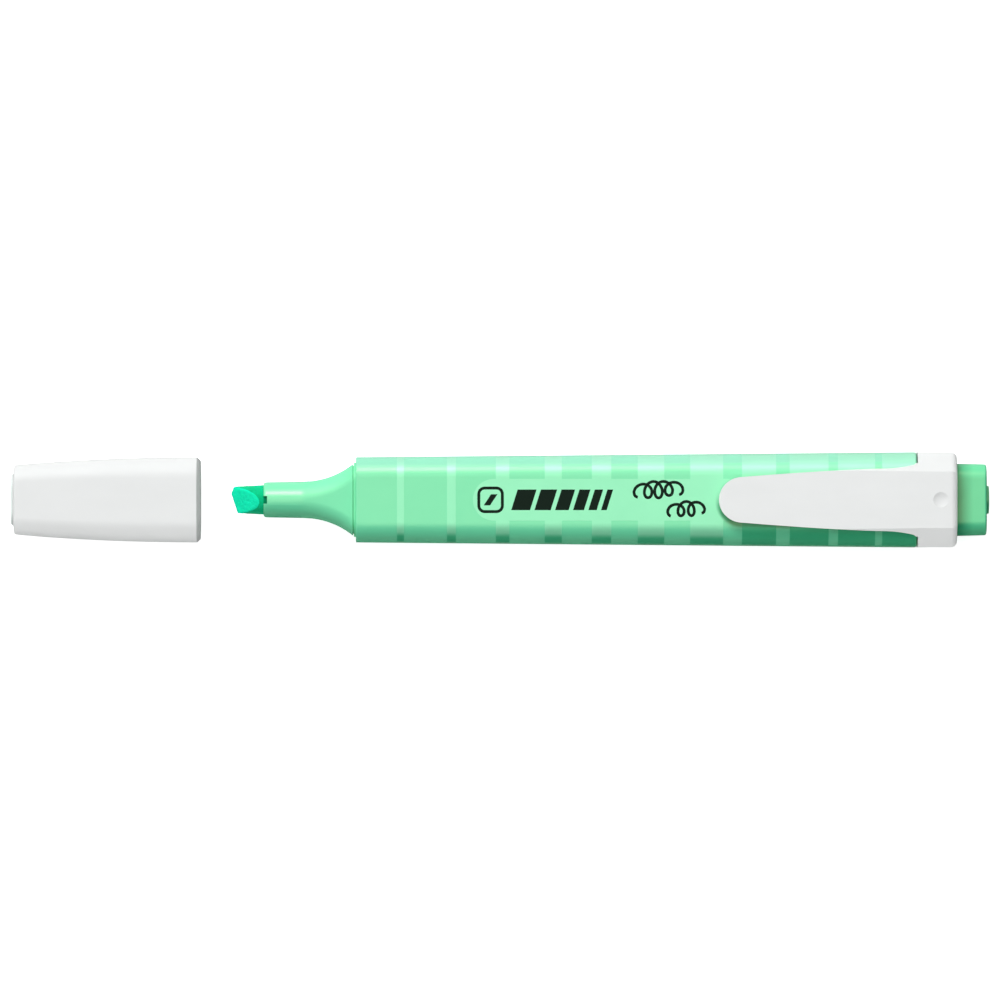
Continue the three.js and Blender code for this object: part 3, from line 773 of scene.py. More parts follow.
def felt_material(colours):
    """Porous fibre nib, soaked with ink, lighter where it was cut, with painted shade where it sits
    inside the nose.
    """
    tree, shader, place = start_material("soaked_felt")
    axes = split(tree, place)
    coarse = noise(tree, place, 1500, 5, 0.65)
    fine = noise(tree, place, 5200, 3, 0.6)
    soaked = blend_colours(tree, facet_mask(tree, axes), colours.felt, colours.felt_facet)
    # painted shade on the felt inside the nose's lip
    lip = NOSE_LOW[0]
    inside = ramp(tree, axes["X"], lip - 0.1 * MM, lip + 0.15 * MM, 1.0, 0.45)
    shade = calculate(tree, "MULTIPLY", spread(tree, coarse, 0.78, 1.0), inside)
    mottled = add_node(tree, "ShaderNodeVectorMath", {0: soaked}, operation="SCALE")
    tree.links.new(shade, mottled.inputs["Scale"])
    tree.links.new(mottled.outputs["Vector"], shader.inputs["Base Color"])
    fixed = {
        "Roughness": 0.85,
        "Specular IOR Level": 0.08,
        "Subsurface Weight": 0.5,
        "Subsurface Scale": SCATTER_DEPTH,
        "Subsurface Radius": (0.6, 1, 0.9),
        "Sheen Weight": 0.04,
        "Sheen Roughness": 0.5,
    }
    fill_sockets(shader, fixed)
    emboss(tree, shader, calculate(tree, "MULTIPLY_ADD", coarse, 2.0, fine), 5e-5, 0.7)


def fibre_material(colours):
    """The reservoir's bundle of soaked fibres, drawn out along the pen."""
    tree, shader, place = start_material("soaked_fibre")
    strands = noise(tree, drawn_out(tree, place, 0.03), 3500, 4, 0.6)
    pale = blend_colours(tree, spread(tree, strands, 0, 1), colours.felt, colours.felt_facet)
    tree.links.new(pale, shader.inputs["Base Color"])
    fill_sockets(shader, {"Roughness": 0.9})
    emboss(tree, shader, strands, 4e-5)


def film_material():
    """The clear film round the reservoir, with faint creases."""
    tree, shader, place = start_material("creased_film")
    creases = noise(tree, place, 300, 5, 0.7)
    colour = blend_colours(tree, creases, (0.62, 0.70, 0.72), (0.80, 0.86, 0.88))
    tree.links.new(colour, shader.inputs["Base Color"])
    tree.links.new(spread(tree, creases, 0.12, 0.25), shader.inputs["Roughness"])
    emboss(tree, shader, creases, 6e-5)


# Pieces


class HIGHLIGHTER_OT_cap(bpy.types.Operator):
    """Model the cap, from its mouth round its closed end and back inside"""

    bl_idname = "highlighter.cap"
    bl_label = "Cap"

    def execute(self, context):
        sizes = context.scene.highlighter_cap
        mouth, end = CAP_HIGH[0], CAP_LOW[0] + sizes.rim
        mouth_width = CAP_HIGH[1] - CAP_LOW[1]

        def section(x, inset=0.0):
            remaining = min(max((mouth - x) / (mouth - end), 0), 1) ** sizes.taper_power
            width = mix(mouth_width, sizes.end_width, remaining)
            height = mix(THICKNESS, sizes.end_height, remaining)
            return x, width - 2 * inset, height - 2 * inset

        wall_start = end + sizes.edge
        lip_start = mouth - sizes.lip
        shares = [step / CAP_STEPS for step in range(CAP_STEPS + 1)]
        outer = [section(mix(lip_start, wall_start, share)) for share in shares]
        closed_end = rounded_edge(end, wall_start, *outer[-1][1:])[::-1]
        window = (sizes.window_width, sizes.window_height)
        end_width, end_height = closed_end[-1][1:]
        rim = [
            (
                end - sizes.rim * (1 - math.cos(QUARTER_TURN * share)),
                mix(end_width, window[0], share),
                mix(end_height, window[1], share),
            )
            for share in (0.5, 0.8, 1.0)
        ]
        inner_end, inner_start = end + sizes.end_wall, mouth - sizes.lip_inside
        inner = [section(mix(inner_end, inner_start, share), sizes.wall) for share in shares]
        inner_mouth = rounded_edge(mouth, inner[-1][0], *inner[-1][1:], hole=True)[::-1]
        cut, (_, lip_width, lip_height) = 2 * sizes.lip_depth, outer[0]
        outer_mouth = [
            (mix(lip_start, mouth, along), lip_width - depth * cut, lip_height - depth * cut)
            for along, depth in ((1, 1), (0.95, 0.88), (0.04, 0.02), (0, 0))
        ]
        rings = [
            *outer[1:],
            *closed_end[1:],
            *rim,
            (inner_end, *window),
            *inner,
            *inner_mouth[1:],
            *outer_mouth,
        ]
        cap = start_section("cap_body", outer[0], sizes.corner)
        extrude_rings(outer[0], rings)
        smooth_piece(cap)
        fit_piece(cap, "cap_white", "cap", "white_plastic", "cap_shell")
        return {"FINISHED"}


class HIGHLIGHTER_OT_seal(bpy.types.Operator):
    """Model the seal inside the cap, with its post and the boss in the cap's end"""

    bl_idname = "highlighter.seal"
    bl_label = "Cap seal"

    def execute(self, context):
        sizes = context.scene.highlighter_cap
        start, mouth = SEAL_LOW[0], SEAL_HIGH[0]
        boss = (sizes.boss_width, sizes.boss_height)
        plate = (sizes.shoulder_width, sizes.shoulder_height)
        plate_start = start + sizes.boss_length
        plate_end = plate_start + sizes.plate
        boss_rings = [
            *rounded_edge(start, start + sizes.boss_edge, *boss),
            (plate_start, *boss),
            (plate_start, *plate),
            (plate_end, *plate),
        ]
        seal = start_section("cap_seal", boss_rings[0], sizes.boss_corner)
        close_outline()
        extrude_rings(boss_rings[0], boss_rings[1:])
        stop_editing()

        floor, rounding = start + sizes.seal_floor, sizes.post_round
        outside, bore, edge = sizes.seal_outside, sizes.seal_bore, 0.15 * MM
        bell = [
            round_ring(
                floor - rounding * math.cos(QUARTER_TURN * share), mix(sizes.post, outside, share)
            )
            for share in (0.25, 0.5, 0.75, 1.0)
        ]
        hollow = [
            round_ring(floor + rise * MM, share * bore)
            for rise, share in ((0.9, 1.0), (0.7, 0.7), (0.6, 0.2))
        ]
        cup_rings = [
            round_ring(plate_end - 0.4 * MM, sizes.post),
            round_ring(floor - rounding, sizes.post),
            *bell,
            *rounded_edge(mouth, mouth - edge, outside, outside)[::-1],
            *rounded_edge(mouth, mouth - edge, bore, bore, hole=True),
            *hollow,
        ]
        cup = start_circle("seal_cup", cup_rings[0])
        close_outline()
        extrude_rings(cup_rings[0], cup_rings[1:])
        cut_with(seal, cup, "UNION")
        smooth_piece(seal)
        fit_piece(seal, "moulded_natural", "cap", "natural_plastic", "cap_liner")
        return {"FINISHED"}


class HIGHLIGHTER_OT_nose(bpy.types.Operator):
    """Model the nose: vented lip, tube, concave flare, ring and spigot"""

    bl_idname = "highlighter.nose"
    bl_label = "Nose section"

    def shape_flare(self, start, end, rise):
        """Moves the flare's even cuts along the pen so that its sides follow an arc."""
        radius = ((end - start) ** 2 + rise**2) / (2 * rise)
        for cut in range(FLARE_CUTS, 0, -1):
            share = cut / (FLARE_CUTS + 1)
            placed = mix(start, end, share)
            climbed = share * rise
            along = math.sqrt(2 * radius * climbed - climbed**2)
            select_by("VERT", lambda corner: abs(corner.co.x - placed) < 10 * TOUCH)
            bpy.ops.transform.translate(value=(start + along - placed, 0, 0))

    def execute(self, context):
        sizes = context.scene.highlighter_nose
        front, spigot_end = NOSE_LOW[0], NOSE_HIGH[0]
        flare_start = front + sizes.tube_length
        flare_end = flare_start + sizes.flare_length
        ring_start = flare_end + sizes.groove_length
        ring_end = BARREL_LOW[0] - 0.02 * MM
        chamber = ring_end + 0.51 * MM

        lip_rings = [
            round_ring(
                front + sizes.lip_round * (1 - math.sin(angle)),
                mix(sizes.tube, sizes.lip, 1 - math.cos(angle)),
            )
            for angle in quarter(EDGE_STEPS)
        ]
        tube_rings = [
            round_ring(flare_start, sizes.tube_rear),
            *lip_rings,
            round_ring(front, sizes.bore),
            round_ring(chamber, sizes.bore),
        ]
        nose = start_circle("nose", tube_rings[0])
        extrude_rings(tube_rings[0], tube_rings[1:])

        flare = (sizes.flare_width, sizes.flare_height)
        groove = [side - 2 * sizes.groove for side in flare]
        spigot = (sizes.spigot_width, sizes.spigot_height)
        hollow = [side - 2 * sizes.spigot_wall for side in spigot]
        ring = (sizes.ring_width, sizes.ring_height)
        edge = 0.06 * MM
        body_rings = [
            (flare_end, *flare),
            (flare_end + edge / 2, *groove),
            (ring_start, *groove),
            *rounded_edge(ring_start, ring_start + edge, *ring),
            (ring_end, *ring),
            (ring_end, *spigot),
            *rounded_edge(spigot_end, spigot_end - 3 * edge, *spigot)[::-1],
            (spigot_end, *hollow),
            (chamber, *hollow),
        ]
        start_section("nose", body_rings[0], sizes.flare_corner)
        extrude_rings(body_rings[0], body_rings[1:])
        select_outlines(flare_start, flare_end)
        bpy.ops.mesh.bridge_edge_loops(number_cuts=FLARE_CUTS, interpolation="LINEAR")
        self.shape_flare(flare_start, flare_end, (sizes.flare_width - sizes.tube_rear) / 2)
        select_outlines(chamber)
        bpy.ops.mesh.bridge_edge_loops()
        stop_editing()

        half = sizes.vent_width / 2
        vent_low = (front - MM, -half, AXIS_Z - sizes.tube)
        vent_high = (front + sizes.vent_length, half, AXIS_Z + sizes.tube)
        cut_with(nose, add_box("vent_cutter", vent_low, vent_high), "DIFFERENCE")
        smooth_piece(nose, 40)
        fit_piece(nose, "moulded_mint", "pen", "mint_plastic", "nose_section")
        return {"FINISHED"}


class HIGHLIGHTER_OT_nib(bpy.types.Operator):
    """Model the chisel nib: a felt rod with two facets, a skewed edge and a corner cut"""

    bl_idname = "highlighter.nib"
    bl_label = "Nib"


    def cutting_planes(self, sizes):
        """A point on each cut at the tip and the way into the felt: edge, facets and corner."""
        lean, slope = sizes.nib_skew, sizes.nib_slope
        backward = (math.cos(lean), math.sin(lean), 0)
        corner = (NIB_LOW[0], sizes.nib_corner, AXIS_Z)
        planes = [(corner, backward)]
        for side in (1, -1):
            inward = [math.sin(slope) * part for part in backward[:2]]
            point = (*corner[:2], AXIS_Z + side * sizes.nib_edge / 2)
            planes.append((point, (*inward, -side * math.cos(slope))))
        planes.append((corner, (math.cos(sizes.nib_cut), -math.sin(sizes.nib_cut), 0)))
        return planes

    def execute(self, context):
        sizes = context.scene.highlighter_nose
        tip, tail, face = NIB_LOW[0], NIB_HIGH[0], NOSE_LOW[0]
        start = tip - MM
        nib = add_piece(
            "nib_tip",
            bpy.ops.mesh.primitive_cylinder_add,
            vertices=96,
            radius=sizes.nib_rod / 2,
            depth=tail - start,
            location=((start + tail) / 2, 0, AXIS_Z),
            rotation=ACROSS,
        )
        bpy.ops.mesh.bisect(plane_co=(face, 0, AXIS_Z), plane_no=(1, 0, 0))
        front_taper, tail_taper = sizes.nib_front / sizes.nib_rod, 0.76
        select_by("VERT", lambda corner: corner.co.x < tip)
        resize((1, front_taper, front_taper), (start, 0, AXIS_Z))
        select_by("VERT", lambda corner: corner.co.x > tail - TOUCH)
        resize((1, tail_taper, tail_taper), (tail, 0, AXIS_Z))
        for point, inward in self.cutting_planes(sizes):
            bpy.ops.mesh.select_all(action="SELECT")
            bpy.ops.mesh.bisect(plane_co=point, plane_no=inward, use_fill=True, clear_inner=True)
        clean_mesh(nib)
        edge = {"width": 0.09 * MM, "segments": 2, "limit_method": "ANGLE", "angle_limit": 0.35}
        apply_modifier(nib, "BEVEL", **edge)
        apply_modifier(nib, "REMESH", mode="VOXEL", voxel_size=sizes.nib_voxel)
        apply_modifier(nib, "SMOOTH", factor=0.5, iterations=3)
        grain = bpy.data.textures.new("felt_grain", "CLOUDS")
        grain.noise_scale = sizes.nib_grain
        grain.noise_depth = 3
        rough = {"strength": sizes.nib_rough, "mid_level": 0.5}
        apply_modifier(nib, "DISPLACE", texture=grain, texture_coords="LOCAL", **rough)
        clean_mesh(nib)
        bpy.ops.object.shade_smooth()
        fit_piece(nib, "soaked_felt", "pen", "nib_felt", "nib")
        return {"FINISHED"}


class HIGHLIGHTER_OT_barrel(bpy.types.Operator):
    """Model the barrel, from its front round its neck and back inside"""

    bl_idname = "highlighter.barrel"
    bl_label = "Barrel"

    def execute(self, context):
        sizes = context.scene.highlighter_barrel
        front, neck_end = BARREL_LOW[0], BARREL_HIGH[0]
        shoulder = neck_end - sizes.neck_length
        rear_width = BARREL_HIGH[1] - BARREL_LOW[1]
        neck = (sizes.neck_width, sizes.neck_height)
        neck_bore = [side - 2 * sizes.neck_wall for side in neck]
        inside = THICKNESS - 2 * sizes.wall
        front_edge = rounded_edge(front, front + sizes.lip, sizes.front_width, THICKNESS)
        rear_edge = rounded_edge(shoulder, shoulder - sizes.shoulder_edge, rear_width, THICKNESS)
        neck_edge = rounded_edge(neck_end, neck_end - sizes.neck_edge, *neck)
        step = shoulder - sizes.neck_depth
        rings = [
            *rear_edge[::-1],
            (shoulder, *neck),
            *neck_edge[::-1],
            (neck_end, *neck_bore),
            (step, *neck_bore),
            (step, rear_width - 2 * sizes.wall, inside),
            (front, sizes.front_width - 2 * sizes.wall, inside),
            *front_edge,
        ]
        barrel = start_section("barrel_body", front_edge[-1], sizes.corner)
        extrude_rings(front_edge[-1], rings)
        smooth_piece(barrel)
        fit_piece(barrel, "printed_mint", "pen", "mint_plastic", "barrel")
        return {"FINISHED"}


class HIGHLIGHTER_OT_marks(bpy.types.Operator):
    """Print the dark marks on the barrel: a framed stroke, a row of bars and two scribbles"""

    bl_idname = "highlighter.marks"
    bl_label = "Printed marks"

    def add_sheet(self, place, width, height):
        """A flat rectangle on the barrel's top, in the piece being edited or as a new one."""
        centre = (*place, BARREL_HIGH[2] - INK_FILM)
        add_piece("printed_marks", bpy.ops.mesh.primitive_plane_add, size=1, location=centre)
        resize((width, height, 1), centre)

    def draw_bar(self, x, width, height, lean):
        """A leaning bar whose lower left corner is at x."""
        self.add_sheet((x, 0), INK_FILM, height)
        mesh = bpy.context.object.data
        shape = bmesh.from_edit_mesh(mesh)
        fresh = [corner for corner in shape.verts if corner.select]
        right = [corner for corner in fresh if corner.co.x > x]
        for corner in fresh:
            corner.select_set(corner.co.y > 0)
        shape.select_flush_mode()
        bmesh.update_edit_mesh(mesh)
        bpy.ops.transform.translate(value=(lean, 0, 0))
        bpy.ops.mesh.select_mode(type="EDGE")
        for edge in bmesh.from_edit_mesh(mesh).edges:
            edge.select_set(all(corner in right for corner in edge.verts))
        extrude_by(width, 0, 0)

    def draw_scribble(self, start, end, level, height, loops):
        """A row of loops drawn with a round tip, as someone tries out a pen."""
        pen = bpy.context.scene.highlighter_marks.scribble_line / 2
        steps = 28 * loops
        deselect()
        bpy.ops.curve.primitive_bezier_curve_add()
        path = bpy.context.object.data
        path.splines.clear()
        spline = path.splines.new("POLY")
        spline.points.add(steps)
        for number, point in enumerate(spline.points):
            share = number / steps
            turn = 2 * HALF_TURN * (loops * share - 0.25)
            swell = 1 + 0.16 * math.sin(7.3 * share + start / MM)
            x = mix(start, end, share) - 0.42 * height * math.cos(turn)
            y = level + 0.5 * height * swell * math.sin(turn) + 0.2 * height * (share - 0.5)
            point.co = (x, y, BARREL_HIGH[2], 1)
        path.dimensions = "3D"
        path.bevel_depth = pen
        path.bevel_resolution = 3
        path.use_fill_caps = True
        bpy.ops.object.convert(target="MESH")
        scribble = settle_primitive("scribble")
        resize((1, 1, INK_FILM / pen), (0, 0, BARREL_HIGH[2]))
        stop_editing()
        return scribble

    def execute(self, context):
        marks = context.scene.highlighter_marks
        side, centre = marks.frame_side, marks.frame_place
        self.add_sheet((centre, 0), side, side)
        bpy.ops.mesh.bevel(affect="VERTICES", offset=0.28 * side, segments=CORNER_STEPS)
        bpy.ops.mesh.inset(thickness=marks.frame_line)
        bpy.ops.mesh.delete(type="FACE")
        self.draw_bar(centre - 0.26 * side, 0.24 * side, 0.42 * side, 0.28 * side)
        x = marks.row_start
        for number in range(marks.row_count):
            width = mix(marks.row_widest, marks.row_narrowest, number / (marks.row_count - 1))
            self.draw_bar(x, width, marks.row_height, marks.row_lean)
            x += width + marks.row_gap
        bpy.ops.mesh.select_all(action="SELECT")
        extrude_by(0, 0, 2 * INK_FILM)
        stop_editing()
        printed = bpy.data.objects["printed_marks"]
        scribbles = [
            self.draw_scribble(start * MM, end * MM, level * MM, height * MM, loops)
            for start, end, level, height, loops in SCRIBBLES
        ]
        for piece in (*scribbles, printed):
            piece.select_set(True)
        bpy.context.view_layer.objects.active = printed
        bpy.ops.object.join()
        clean_mesh(printed)
        fit_piece(printed, "dark_ink", "pen", "mint_plastic")
        return {"FINISHED"}


class HIGHLIGHTER_OT_plug(bpy.types.Operator):
    """Model the end plug with its skirt and its round stub"""

    bl_idname = "highlighter.plug"
    bl_label = "End plug"

    def execute(self, context):
        sizes = context.scene.highlighter_barrel
        skirt_start, stub_end = PLUG_LOW[0], PLUG_HIGH[0]
        head_start = COLLAR_HIGH[0] + 0.09 * MM
        head_end = head_start + sizes.head_length
        head = (head_start, sizes.head_width, sizes.head_height)
        end_face = (sizes.head_end_width, sizes.head_height)
        skirt = (sizes.skirt_width, sizes.skirt_height)
        hollow = [side - 2 * MM for side in skirt]
        skirt_rings = [
            (head_start, *skirt),
            (skirt_start, *skirt),
            (skirt_start, *hollow),
            (skirt_start + sizes.skirt_depth, *hollow),
        ]
        plug = start_section("plug", head, sizes.head_corner)
        extrude_rings(head, skirt_rings)
        close_outline()
        select_outlines(head_start)
        end_rings = rounded_edge(head_end, head_end - sizes.head_edge, *end_face)[::-1]
        for rise, share in ((0.02, 0.72), (0.03, 0.40)):
            end_rings.append((head_end + rise * MM, *[share * side for side in end_face]))
        extrude_rings(head, end_rings)
        close_outline()
        stop_editing()

        stub_edge = rounded_edge(stub_end, stub_end - 0.1 * MM, sizes.stub, sizes.stub)[::-1]
        stub_start = round_ring(head_end - MM, sizes.stub)
        stub = start_circle("plug_stub", stub_start)
        close_outline()
        extrude_rings(stub_start, stub_edge)
        cut_with(plug, stub, "UNION")
        smooth_piece(plug)
        fit_piece(plug, "moulded_plug", "pen", "mint_plastic", "end_plug")
        return {"FINISHED"}


class HIGHLIGHTER_OT_clip(bpy.types.Operator):
    """Model the clip and its collar as the one moulding that they are"""

    bl_idname = "highlighter.clip"
    bl_label = "Clip"

    def collar_prism(self, name, sizes, start, end):
        """A bar of the collar's section: flat top, slanted shoulders and rounded lower corners."""
        half = (COLLAR_HIGH[1] - COLLAR_LOW[1]) / 2
        low = (start, -half, COLLAR_LOW[2])
        prism = add_box(name, low, (end, half, COLLAR_HIGH[2]))
        for upper, offset, segments in ((True, sizes.shoulder, 1), (False, sizes.corner, 10)):
            select_by(
                "EDGE",
                lambda edge: abs(edge.verts[0].co.x - edge.verts[1].co.x) > MM
                and (edge.verts[0].co.z > AXIS_Z) == upper,
            )
            bpy.ops.mesh.bevel(affect="EDGES", offset=offset, segments=segments)
        return prism

    def tongue_widths(self, sizes):
        """(x, half width) from inside the collar to the round tip."""
        tip, root = TONGUE_LOW[0], COLLAR_LOW[0]
        wide, narrow = sizes.flare_width / 2, sizes.root_width / 2
        tip_half, fillet = sizes.tip_width / 2, sizes.fillet
        flare_start = root - fillet
        flare_end = flare_start - sizes.flare_length
        tip_end = tip + sizes.tip_length
        stations = [(root + 2 * MM, wide + fillet)]
        for angle in quarter(FILLET_STEPS)[:-1]:
            rounding = fillet * math.sin(angle)
            stations.append((root - rounding, wide + fillet - rounding))
        for step in range(ROOT_STEPS + 1):
            share = step / ROOT_STEPS
            half = mix(wide, narrow, 1 - (1 - share) ** 2)
            stations.append((mix(flare_start, flare_end, share), half))
        for step in range(1, SIDE_STEPS + 1):
            share = step / SIDE_STEPS
            stations.append((mix(flare_end, tip_end, share), mix(narrow, tip_half, share**1.35)))
        for angle in quarter(TIP_STEPS)[1:]:
            half = max(tip_half * math.cos(angle), 0.02 * MM)
            stations.append((tip_end - sizes.tip_length * math.sin(angle), half))
        return stations

    def tongue(self, sizes):
        """The tongue, drawn out edge by edge from inside the collar and then thickened."""
        top = COLLAR_HIGH[2]
        stations = self.tongue_widths(sizes)
        start, half = stations[0]
        slope = sizes.droop / (COLLAR_LOW[0] - TONGUE_LOW[0])
        centre = (start + MM, 0, top)
        tongue = add_piece("tongue", bpy.ops.mesh.primitive_plane_add, size=1, location=centre)
        resize((2 * MM, 2 * half, 1), centre)
        select_outlines(start)
        height = top
        for x, next_half in stations[1:]:
            next_height = top - max(COLLAR_LOW[0] - x, 0) * slope
            extrude_by(x - start, 0, next_height - height)
            resize((1, next_half / half, 1), (x, 0, next_height))
            start, half, height = x, next_half, next_height
        bpy.ops.mesh.select_all(action="SELECT")
        extrude_by(0, 0, -sizes.thickness)
        stop_editing()
        return tongue

    def pocket_grip(self, sizes):
        """The rounded bar under the tip that grips a pocket's edge."""
        centre = (TONGUE_LOW[0] + sizes.grip_place, 0, TONGUE_LOW[2] + sizes.grip_height)
        grip = add_piece(
            "grip",
            bpy.ops.mesh.primitive_cylinder_add,
            vertices=48,
            radius=sizes.grip,
            depth=0.72 * sizes.tip_width,
            location=centre,
            rotation=(QUARTER_TURN, 0, 0),
        )
        resize((1, 1, 0.58), centre)
        stop_editing()
        return grip

    def dimple(self, sizes):
        """The ball that presses the dimple into the collar's top."""
        radius, depth = sizes.dimple / 2, sizes.dimple_depth
        ball = (radius**2 + depth**2) / (2 * depth)
        dimple = add_piece(
            "dimple_cutter",
            bpy.ops.mesh.primitive_uv_sphere_add,
            segments=96,
            ring_count=64,
            radius=ball,
            location=(COLLAR_LOW[0] + sizes.dimple_place, 0, COLLAR_HIGH[2] + ball - depth),
        )
        stop_editing()
        return dimple

    def execute(self, context):
        sizes = context.scene.highlighter_clip
        neck = context.scene.highlighter_barrel
        front, rear = COLLAR_LOW[0], COLLAR_HIGH[0]
        collar = self.collar_prism("collar", sizes, front, rear)
        select_by("FACE", lambda face: face.normal.x > 0.9)
        bpy.ops.mesh.bevel(affect="EDGES", offset=sizes.rear_round, segments=6)
        stop_editing()

        clip = self.tongue(sizes)
        shaper = self.collar_prism("shaper", sizes, TONGUE_LOW[0] - 2 * MM, rear - 2 * MM)
        cut_with(clip, shaper, "INTERSECT")
        cut_with(clip, self.pocket_grip(sizes), "UNION")
        cut_with(clip, collar, "UNION")

        bore = [side + 2 * sizes.bore_gap for side in (neck.neck_width, neck.neck_height)]
        window = (sizes.window_width, sizes.window_height)
        for end, hole, corner in (
            (rear - sizes.rear_wall, bore, sizes.bore_corner),
            (rear + MM, window, sizes.window_corner),
        ):
            ring = (front - MM, *hole)
            cutter = start_section("bore_cutter", ring, corner)
            close_outline()
            extrude_rings(ring, [(end, *hole)])
            stop_editing()
            cut_with(clip, cutter, "DIFFERENCE")
        cut_with(clip, self.dimple(sizes), "DIFFERENCE")
        clean_mesh(clip)
        soft = {"width": sizes.edge, "segments": 3, "use_clamp_overlap": True}
        limit = {"limit_method": "ANGLE", "angle_limit": math.radians(24)}
        apply_modifier(clip, "BEVEL", **soft, **limit)
        smooth_piece(clip)
        clip.name = clip.data.name = "clip"
        fit_piece(clip, "moulded_white", None, "white_plastic", "clip_collar", "clip_tongue")
        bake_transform(clip)
        return {"FINISHED"}


class HIGHLIGHTER_OT_materials(bpy.types.Operator):
    """Make the plastics, the felt and the film, and finish the pieces that stay hidden inside"""

    bl_idname = "highlighter.materials"
    bl_label = "Materials"

    def execute(self, context):
        colours = context.scene.highlighter_colours
        nose_material(colours)
        plug_material(colours)
        cap_material(colours)
        plastic_material("moulded_white", colours.white, 0.34, 0.44, scatter=0.1)
        plastic_material("moulded_natural", colours.natural, 0.40, 0.50, scatter=0.5)
        plastic_material("dark_ink", colours.mark, 0.50, 0.60, shine=0.1)
        barrel_material(colours)
        felt_material(colours)
        fibre_material(colours)
        film_material()
        inside = {"ink_reservoir": "soaked_fibre", "reservoir_wrap": "creased_film"}
        for node, material in inside.items():
            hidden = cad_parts[node]
            hidden.data.materials.clear()
            hidden.data.materials.append(bpy.data.materials[material])
        return {"FINISHED"}


# Stage

# Each soft light's place, size and power. All are turned to the middle of the floor.
LIGHTS = {
    "key": ((-0.28, 0.82, 0.82), (0.5, 0.4), 8.9),
    "overhead": ((0, 0, 1.3), (0.9, 0.9), 3.2),
    "overhead_for_white": ((0.3, 0, 1.3), (0.9, 0.9), 2.85),
    "key_for_white": ((-0.3, 0.8, 0.8), (0.8, 0.8), 4.9),
    "fill_for_white": ((0, -0.95, 0.22), (1.4, 0.5), 2.8),
    "bounce": ((0, -0.9, 0.06), (1.6, 0.1), 2.2),
}
FLOOR_SIZE = 6
FLOOR_GLOW = 0.78  # light that the camera sees the floor give off
WORLD_SLOPE = (-0.5, 0.25)  # how the world brightens along X and upwards, beside Y
WORLD_RANGE = (-0.5, 0.9)  # from no light to full light, in the same measure
WORLD_STRENGTH = 0.92
VIEW_WIDTH = 0.17
VIEW_DISTANCE = 2.0
VIEW_PLANE = AXIS_Z + 2.6 * MM  # the height at which the view is that wide
VIEW_SIDE = -0.03 * MM  # how far the view is moved towards the pen's low side
SENSOR_WIDTH = 36


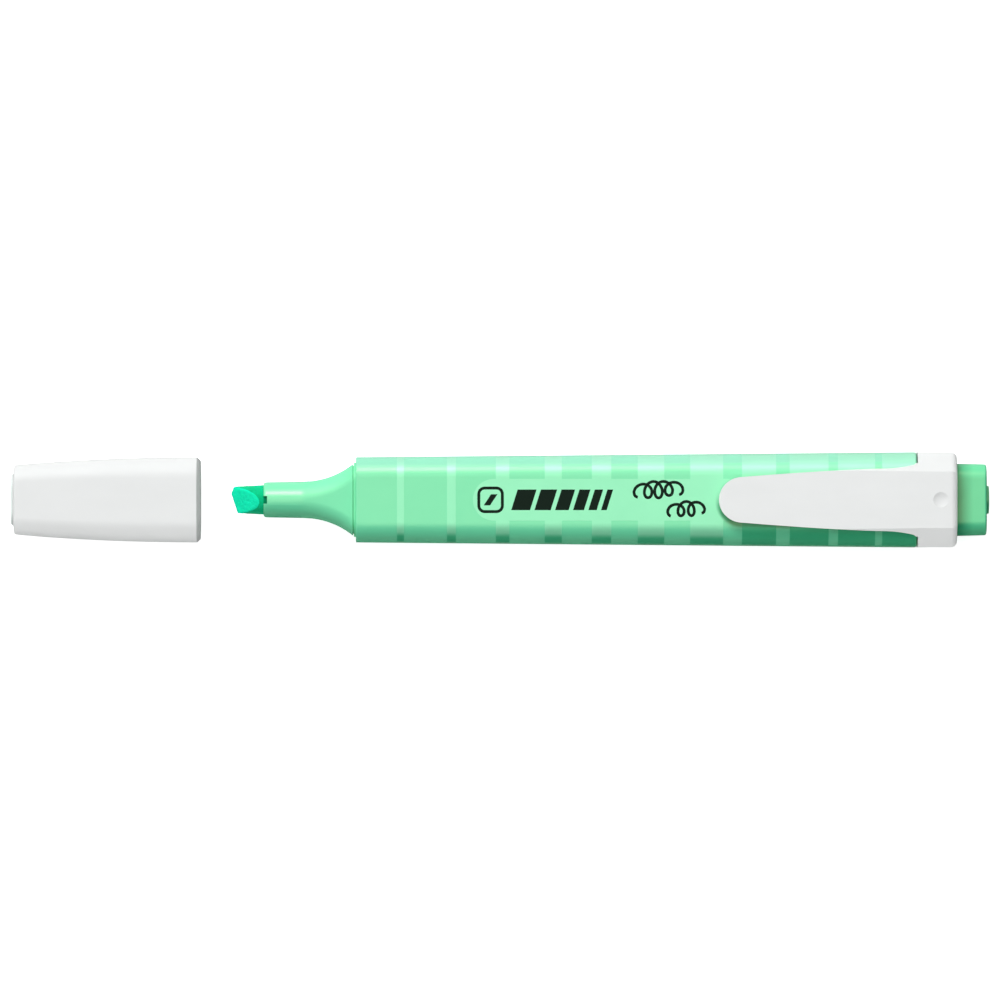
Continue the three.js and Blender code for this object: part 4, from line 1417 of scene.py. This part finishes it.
class HIGHLIGHTER_OT_stage(bpy.types.Operator):
    """Set up the pale floor, the soft light and the camera straight above"""

    bl_idname = "highlighter.stage"
    bl_label = "Stage"

    def add_light(self, name, place, size, power):
        """A soft rectangular light at a place, turned to the middle of the floor."""
        bpy.ops.object.light_add(type="AREA", location=place)
        light = bpy.context.object
        light.name = name
        light.data.shape = "RECTANGLE"
        light.data.size, light.data.size_y = size
        light.data.energy = power
        light.rotation_euler = (-Vector(place)).to_track_quat("-Z", "Y").to_euler()
        return light

    def share_lights(self, leave_white, only_white):
        """Keeps the hard key off the white pieces, and gives them softer lights of their own."""
        white = [bpy.data.objects[name] for name in ("cap_body", "clip")]
        for lights, state in ((leave_white, "EXCLUDE"), (only_white, "INCLUDE")):
            group = bpy.data.collections.new(f"white_pieces_{state.lower()}")
            for number, piece in enumerate(white):
                group.objects.link(piece)
                group.collection_objects[number].light_linking.link_state = state
            for light in lights:
                light.light_linking.receiver_collection = group

    def light_world(self, scene):
        """A studio that is brightest above and beyond the pen, and white to the camera."""
        world = scene.world or bpy.data.worlds.new("studio")
        scene.world = world
        world.use_nodes = True
        tree = world.node_tree
        direction = split(tree, add_node(tree, "ShaderNodeTexCoord").outputs["Generated"])
        along, upwards = WORLD_SLOPE
        lift = calculate(tree, "MULTIPLY_ADD", direction["Z"], upwards, direction["Y"])
        lift = calculate(tree, "MULTIPLY_ADD", direction["X"], along, lift)
        light = ramp(tree, lift, *WORLD_RANGE, 0.0, WORLD_STRENGTH, smooth=True)
        seen = add_node(tree, "ShaderNodeLightPath").outputs["Is Camera Ray"]
        background = tree.nodes["Background"]
        tree.links.new(calculate(tree, "MAXIMUM", light, seen), background.inputs["Strength"])
        background.inputs["Color"].default_value = (1, 1, 1, 1)

    def add_floor(self):
        """Pale paper that glows to the camera and doesn't show in the gloss of the pieces."""
        deselect()
        bpy.ops.mesh.primitive_plane_add(size=FLOOR_SIZE, location=(0, 0, 0))
        floor = bpy.context.object
        floor.name = "floor"
        tree, shader, place = start_material("floor_paper")
        shade = noise(tree, place, 40, 3)
        paper = blend_colours(tree, shade, (0.86, 0.86, 0.86), (0.88, 0.88, 0.88))
        tree.links.new(paper, shader.inputs["Base Color"])
        fixed = {"Roughness": 0.9, "Specular IOR Level": 0.1, "Emission Color": (1, 1, 1, 1)}
        fill_sockets(shader, fixed)
        seen = add_node(tree, "ShaderNodeLightPath").outputs["Is Camera Ray"]
        glow = calculate(tree, "MULTIPLY", seen, FLOOR_GLOW)
        tree.links.new(glow, shader.inputs["Emission Strength"])
        floor.data.materials.append(bpy.data.materials["floor_paper"])
        floor.visible_glossy = False

    def add_camera(self, scene):
        """The camera, straight above the pen."""
        place = (0, VIEW_SIDE, VIEW_PLANE + VIEW_DISTANCE)
        bpy.ops.object.camera_add(location=place)
        scene.camera = bpy.context.object
        camera = scene.camera.data
        camera.sensor_width = SENSOR_WIDTH
        camera.lens = SENSOR_WIDTH * VIEW_DISTANCE / VIEW_WIDTH
        camera.clip_start, camera.clip_end = 0.05, 20

    def execute(self, context):
        scene = context.scene
        self.add_floor()
        self.light_world(scene)
        lights = {name: self.add_light(name, *settings) for name, settings in LIGHTS.items()}
        lights["bounce"].visible_glossy = False
        for_white = [light for name, light in lights.items() if name.endswith("_for_white")]
        self.share_lights([lights["key"]], for_white)
        self.add_camera(scene)
        scene.view_settings.view_transform = "Standard"
        return {"FINISHED"}


class HIGHLIGHTER_PT_panel(bpy.types.Panel):
    """Lists the highlighter's pieces, sizes and colours"""

    bl_label = "Highlighter"
    bl_idname = "HIGHLIGHTER_PT_panel"
    bl_space_type = "VIEW_3D"
    bl_region_type = "UI"
    bl_category = "Highlighter"

    def draw(self, context):
        for operator in OPERATORS:
            self.layout.operator(operator.bl_idname)
        for name, group in GROUPS.items():
            box = self.layout.box()
            for field in group.__annotations__:
                box.prop(getattr(context.scene, name), field)


GROUPS = {
    "highlighter_cap": HighlighterCap,
    "highlighter_nose": HighlighterNose,
    "highlighter_barrel": HighlighterBarrel,
    "highlighter_clip": HighlighterClip,
    "highlighter_marks": HighlighterMarks,
    "highlighter_colours": HighlighterColours,
}
OPERATORS = (
    HIGHLIGHTER_OT_materials,
    HIGHLIGHTER_OT_cap,
    HIGHLIGHTER_OT_seal,
    HIGHLIGHTER_OT_nose,
    HIGHLIGHTER_OT_nib,
    HIGHLIGHTER_OT_barrel,
    HIGHLIGHTER_OT_marks,
    HIGHLIGHTER_OT_plug,
    HIGHLIGHTER_OT_clip,
    HIGHLIGHTER_OT_stage,
)


def register():
    for kind in (*GROUPS.values(), *OPERATORS, HIGHLIGHTER_PT_panel):
        bpy.utils.register_class(kind)
    for name, group in GROUPS.items():
        setattr(bpy.types.Scene, name, bpy.props.PointerProperty(type=group))


def unregister():
    for name in GROUPS:
        delattr(bpy.types.Scene, name)
    for kind in reversed((*GROUPS.values(), *OPERATORS, HIGHLIGHTER_PT_panel)):
        bpy.utils.unregister_class(kind)


def main():
    """Makes everything in order."""
    register()
    for operator in OPERATORS:
        group, name = operator.bl_idname.split(".")
        getattr(getattr(bpy.ops, group), name)()


if __name__ == "__main__":
    main()
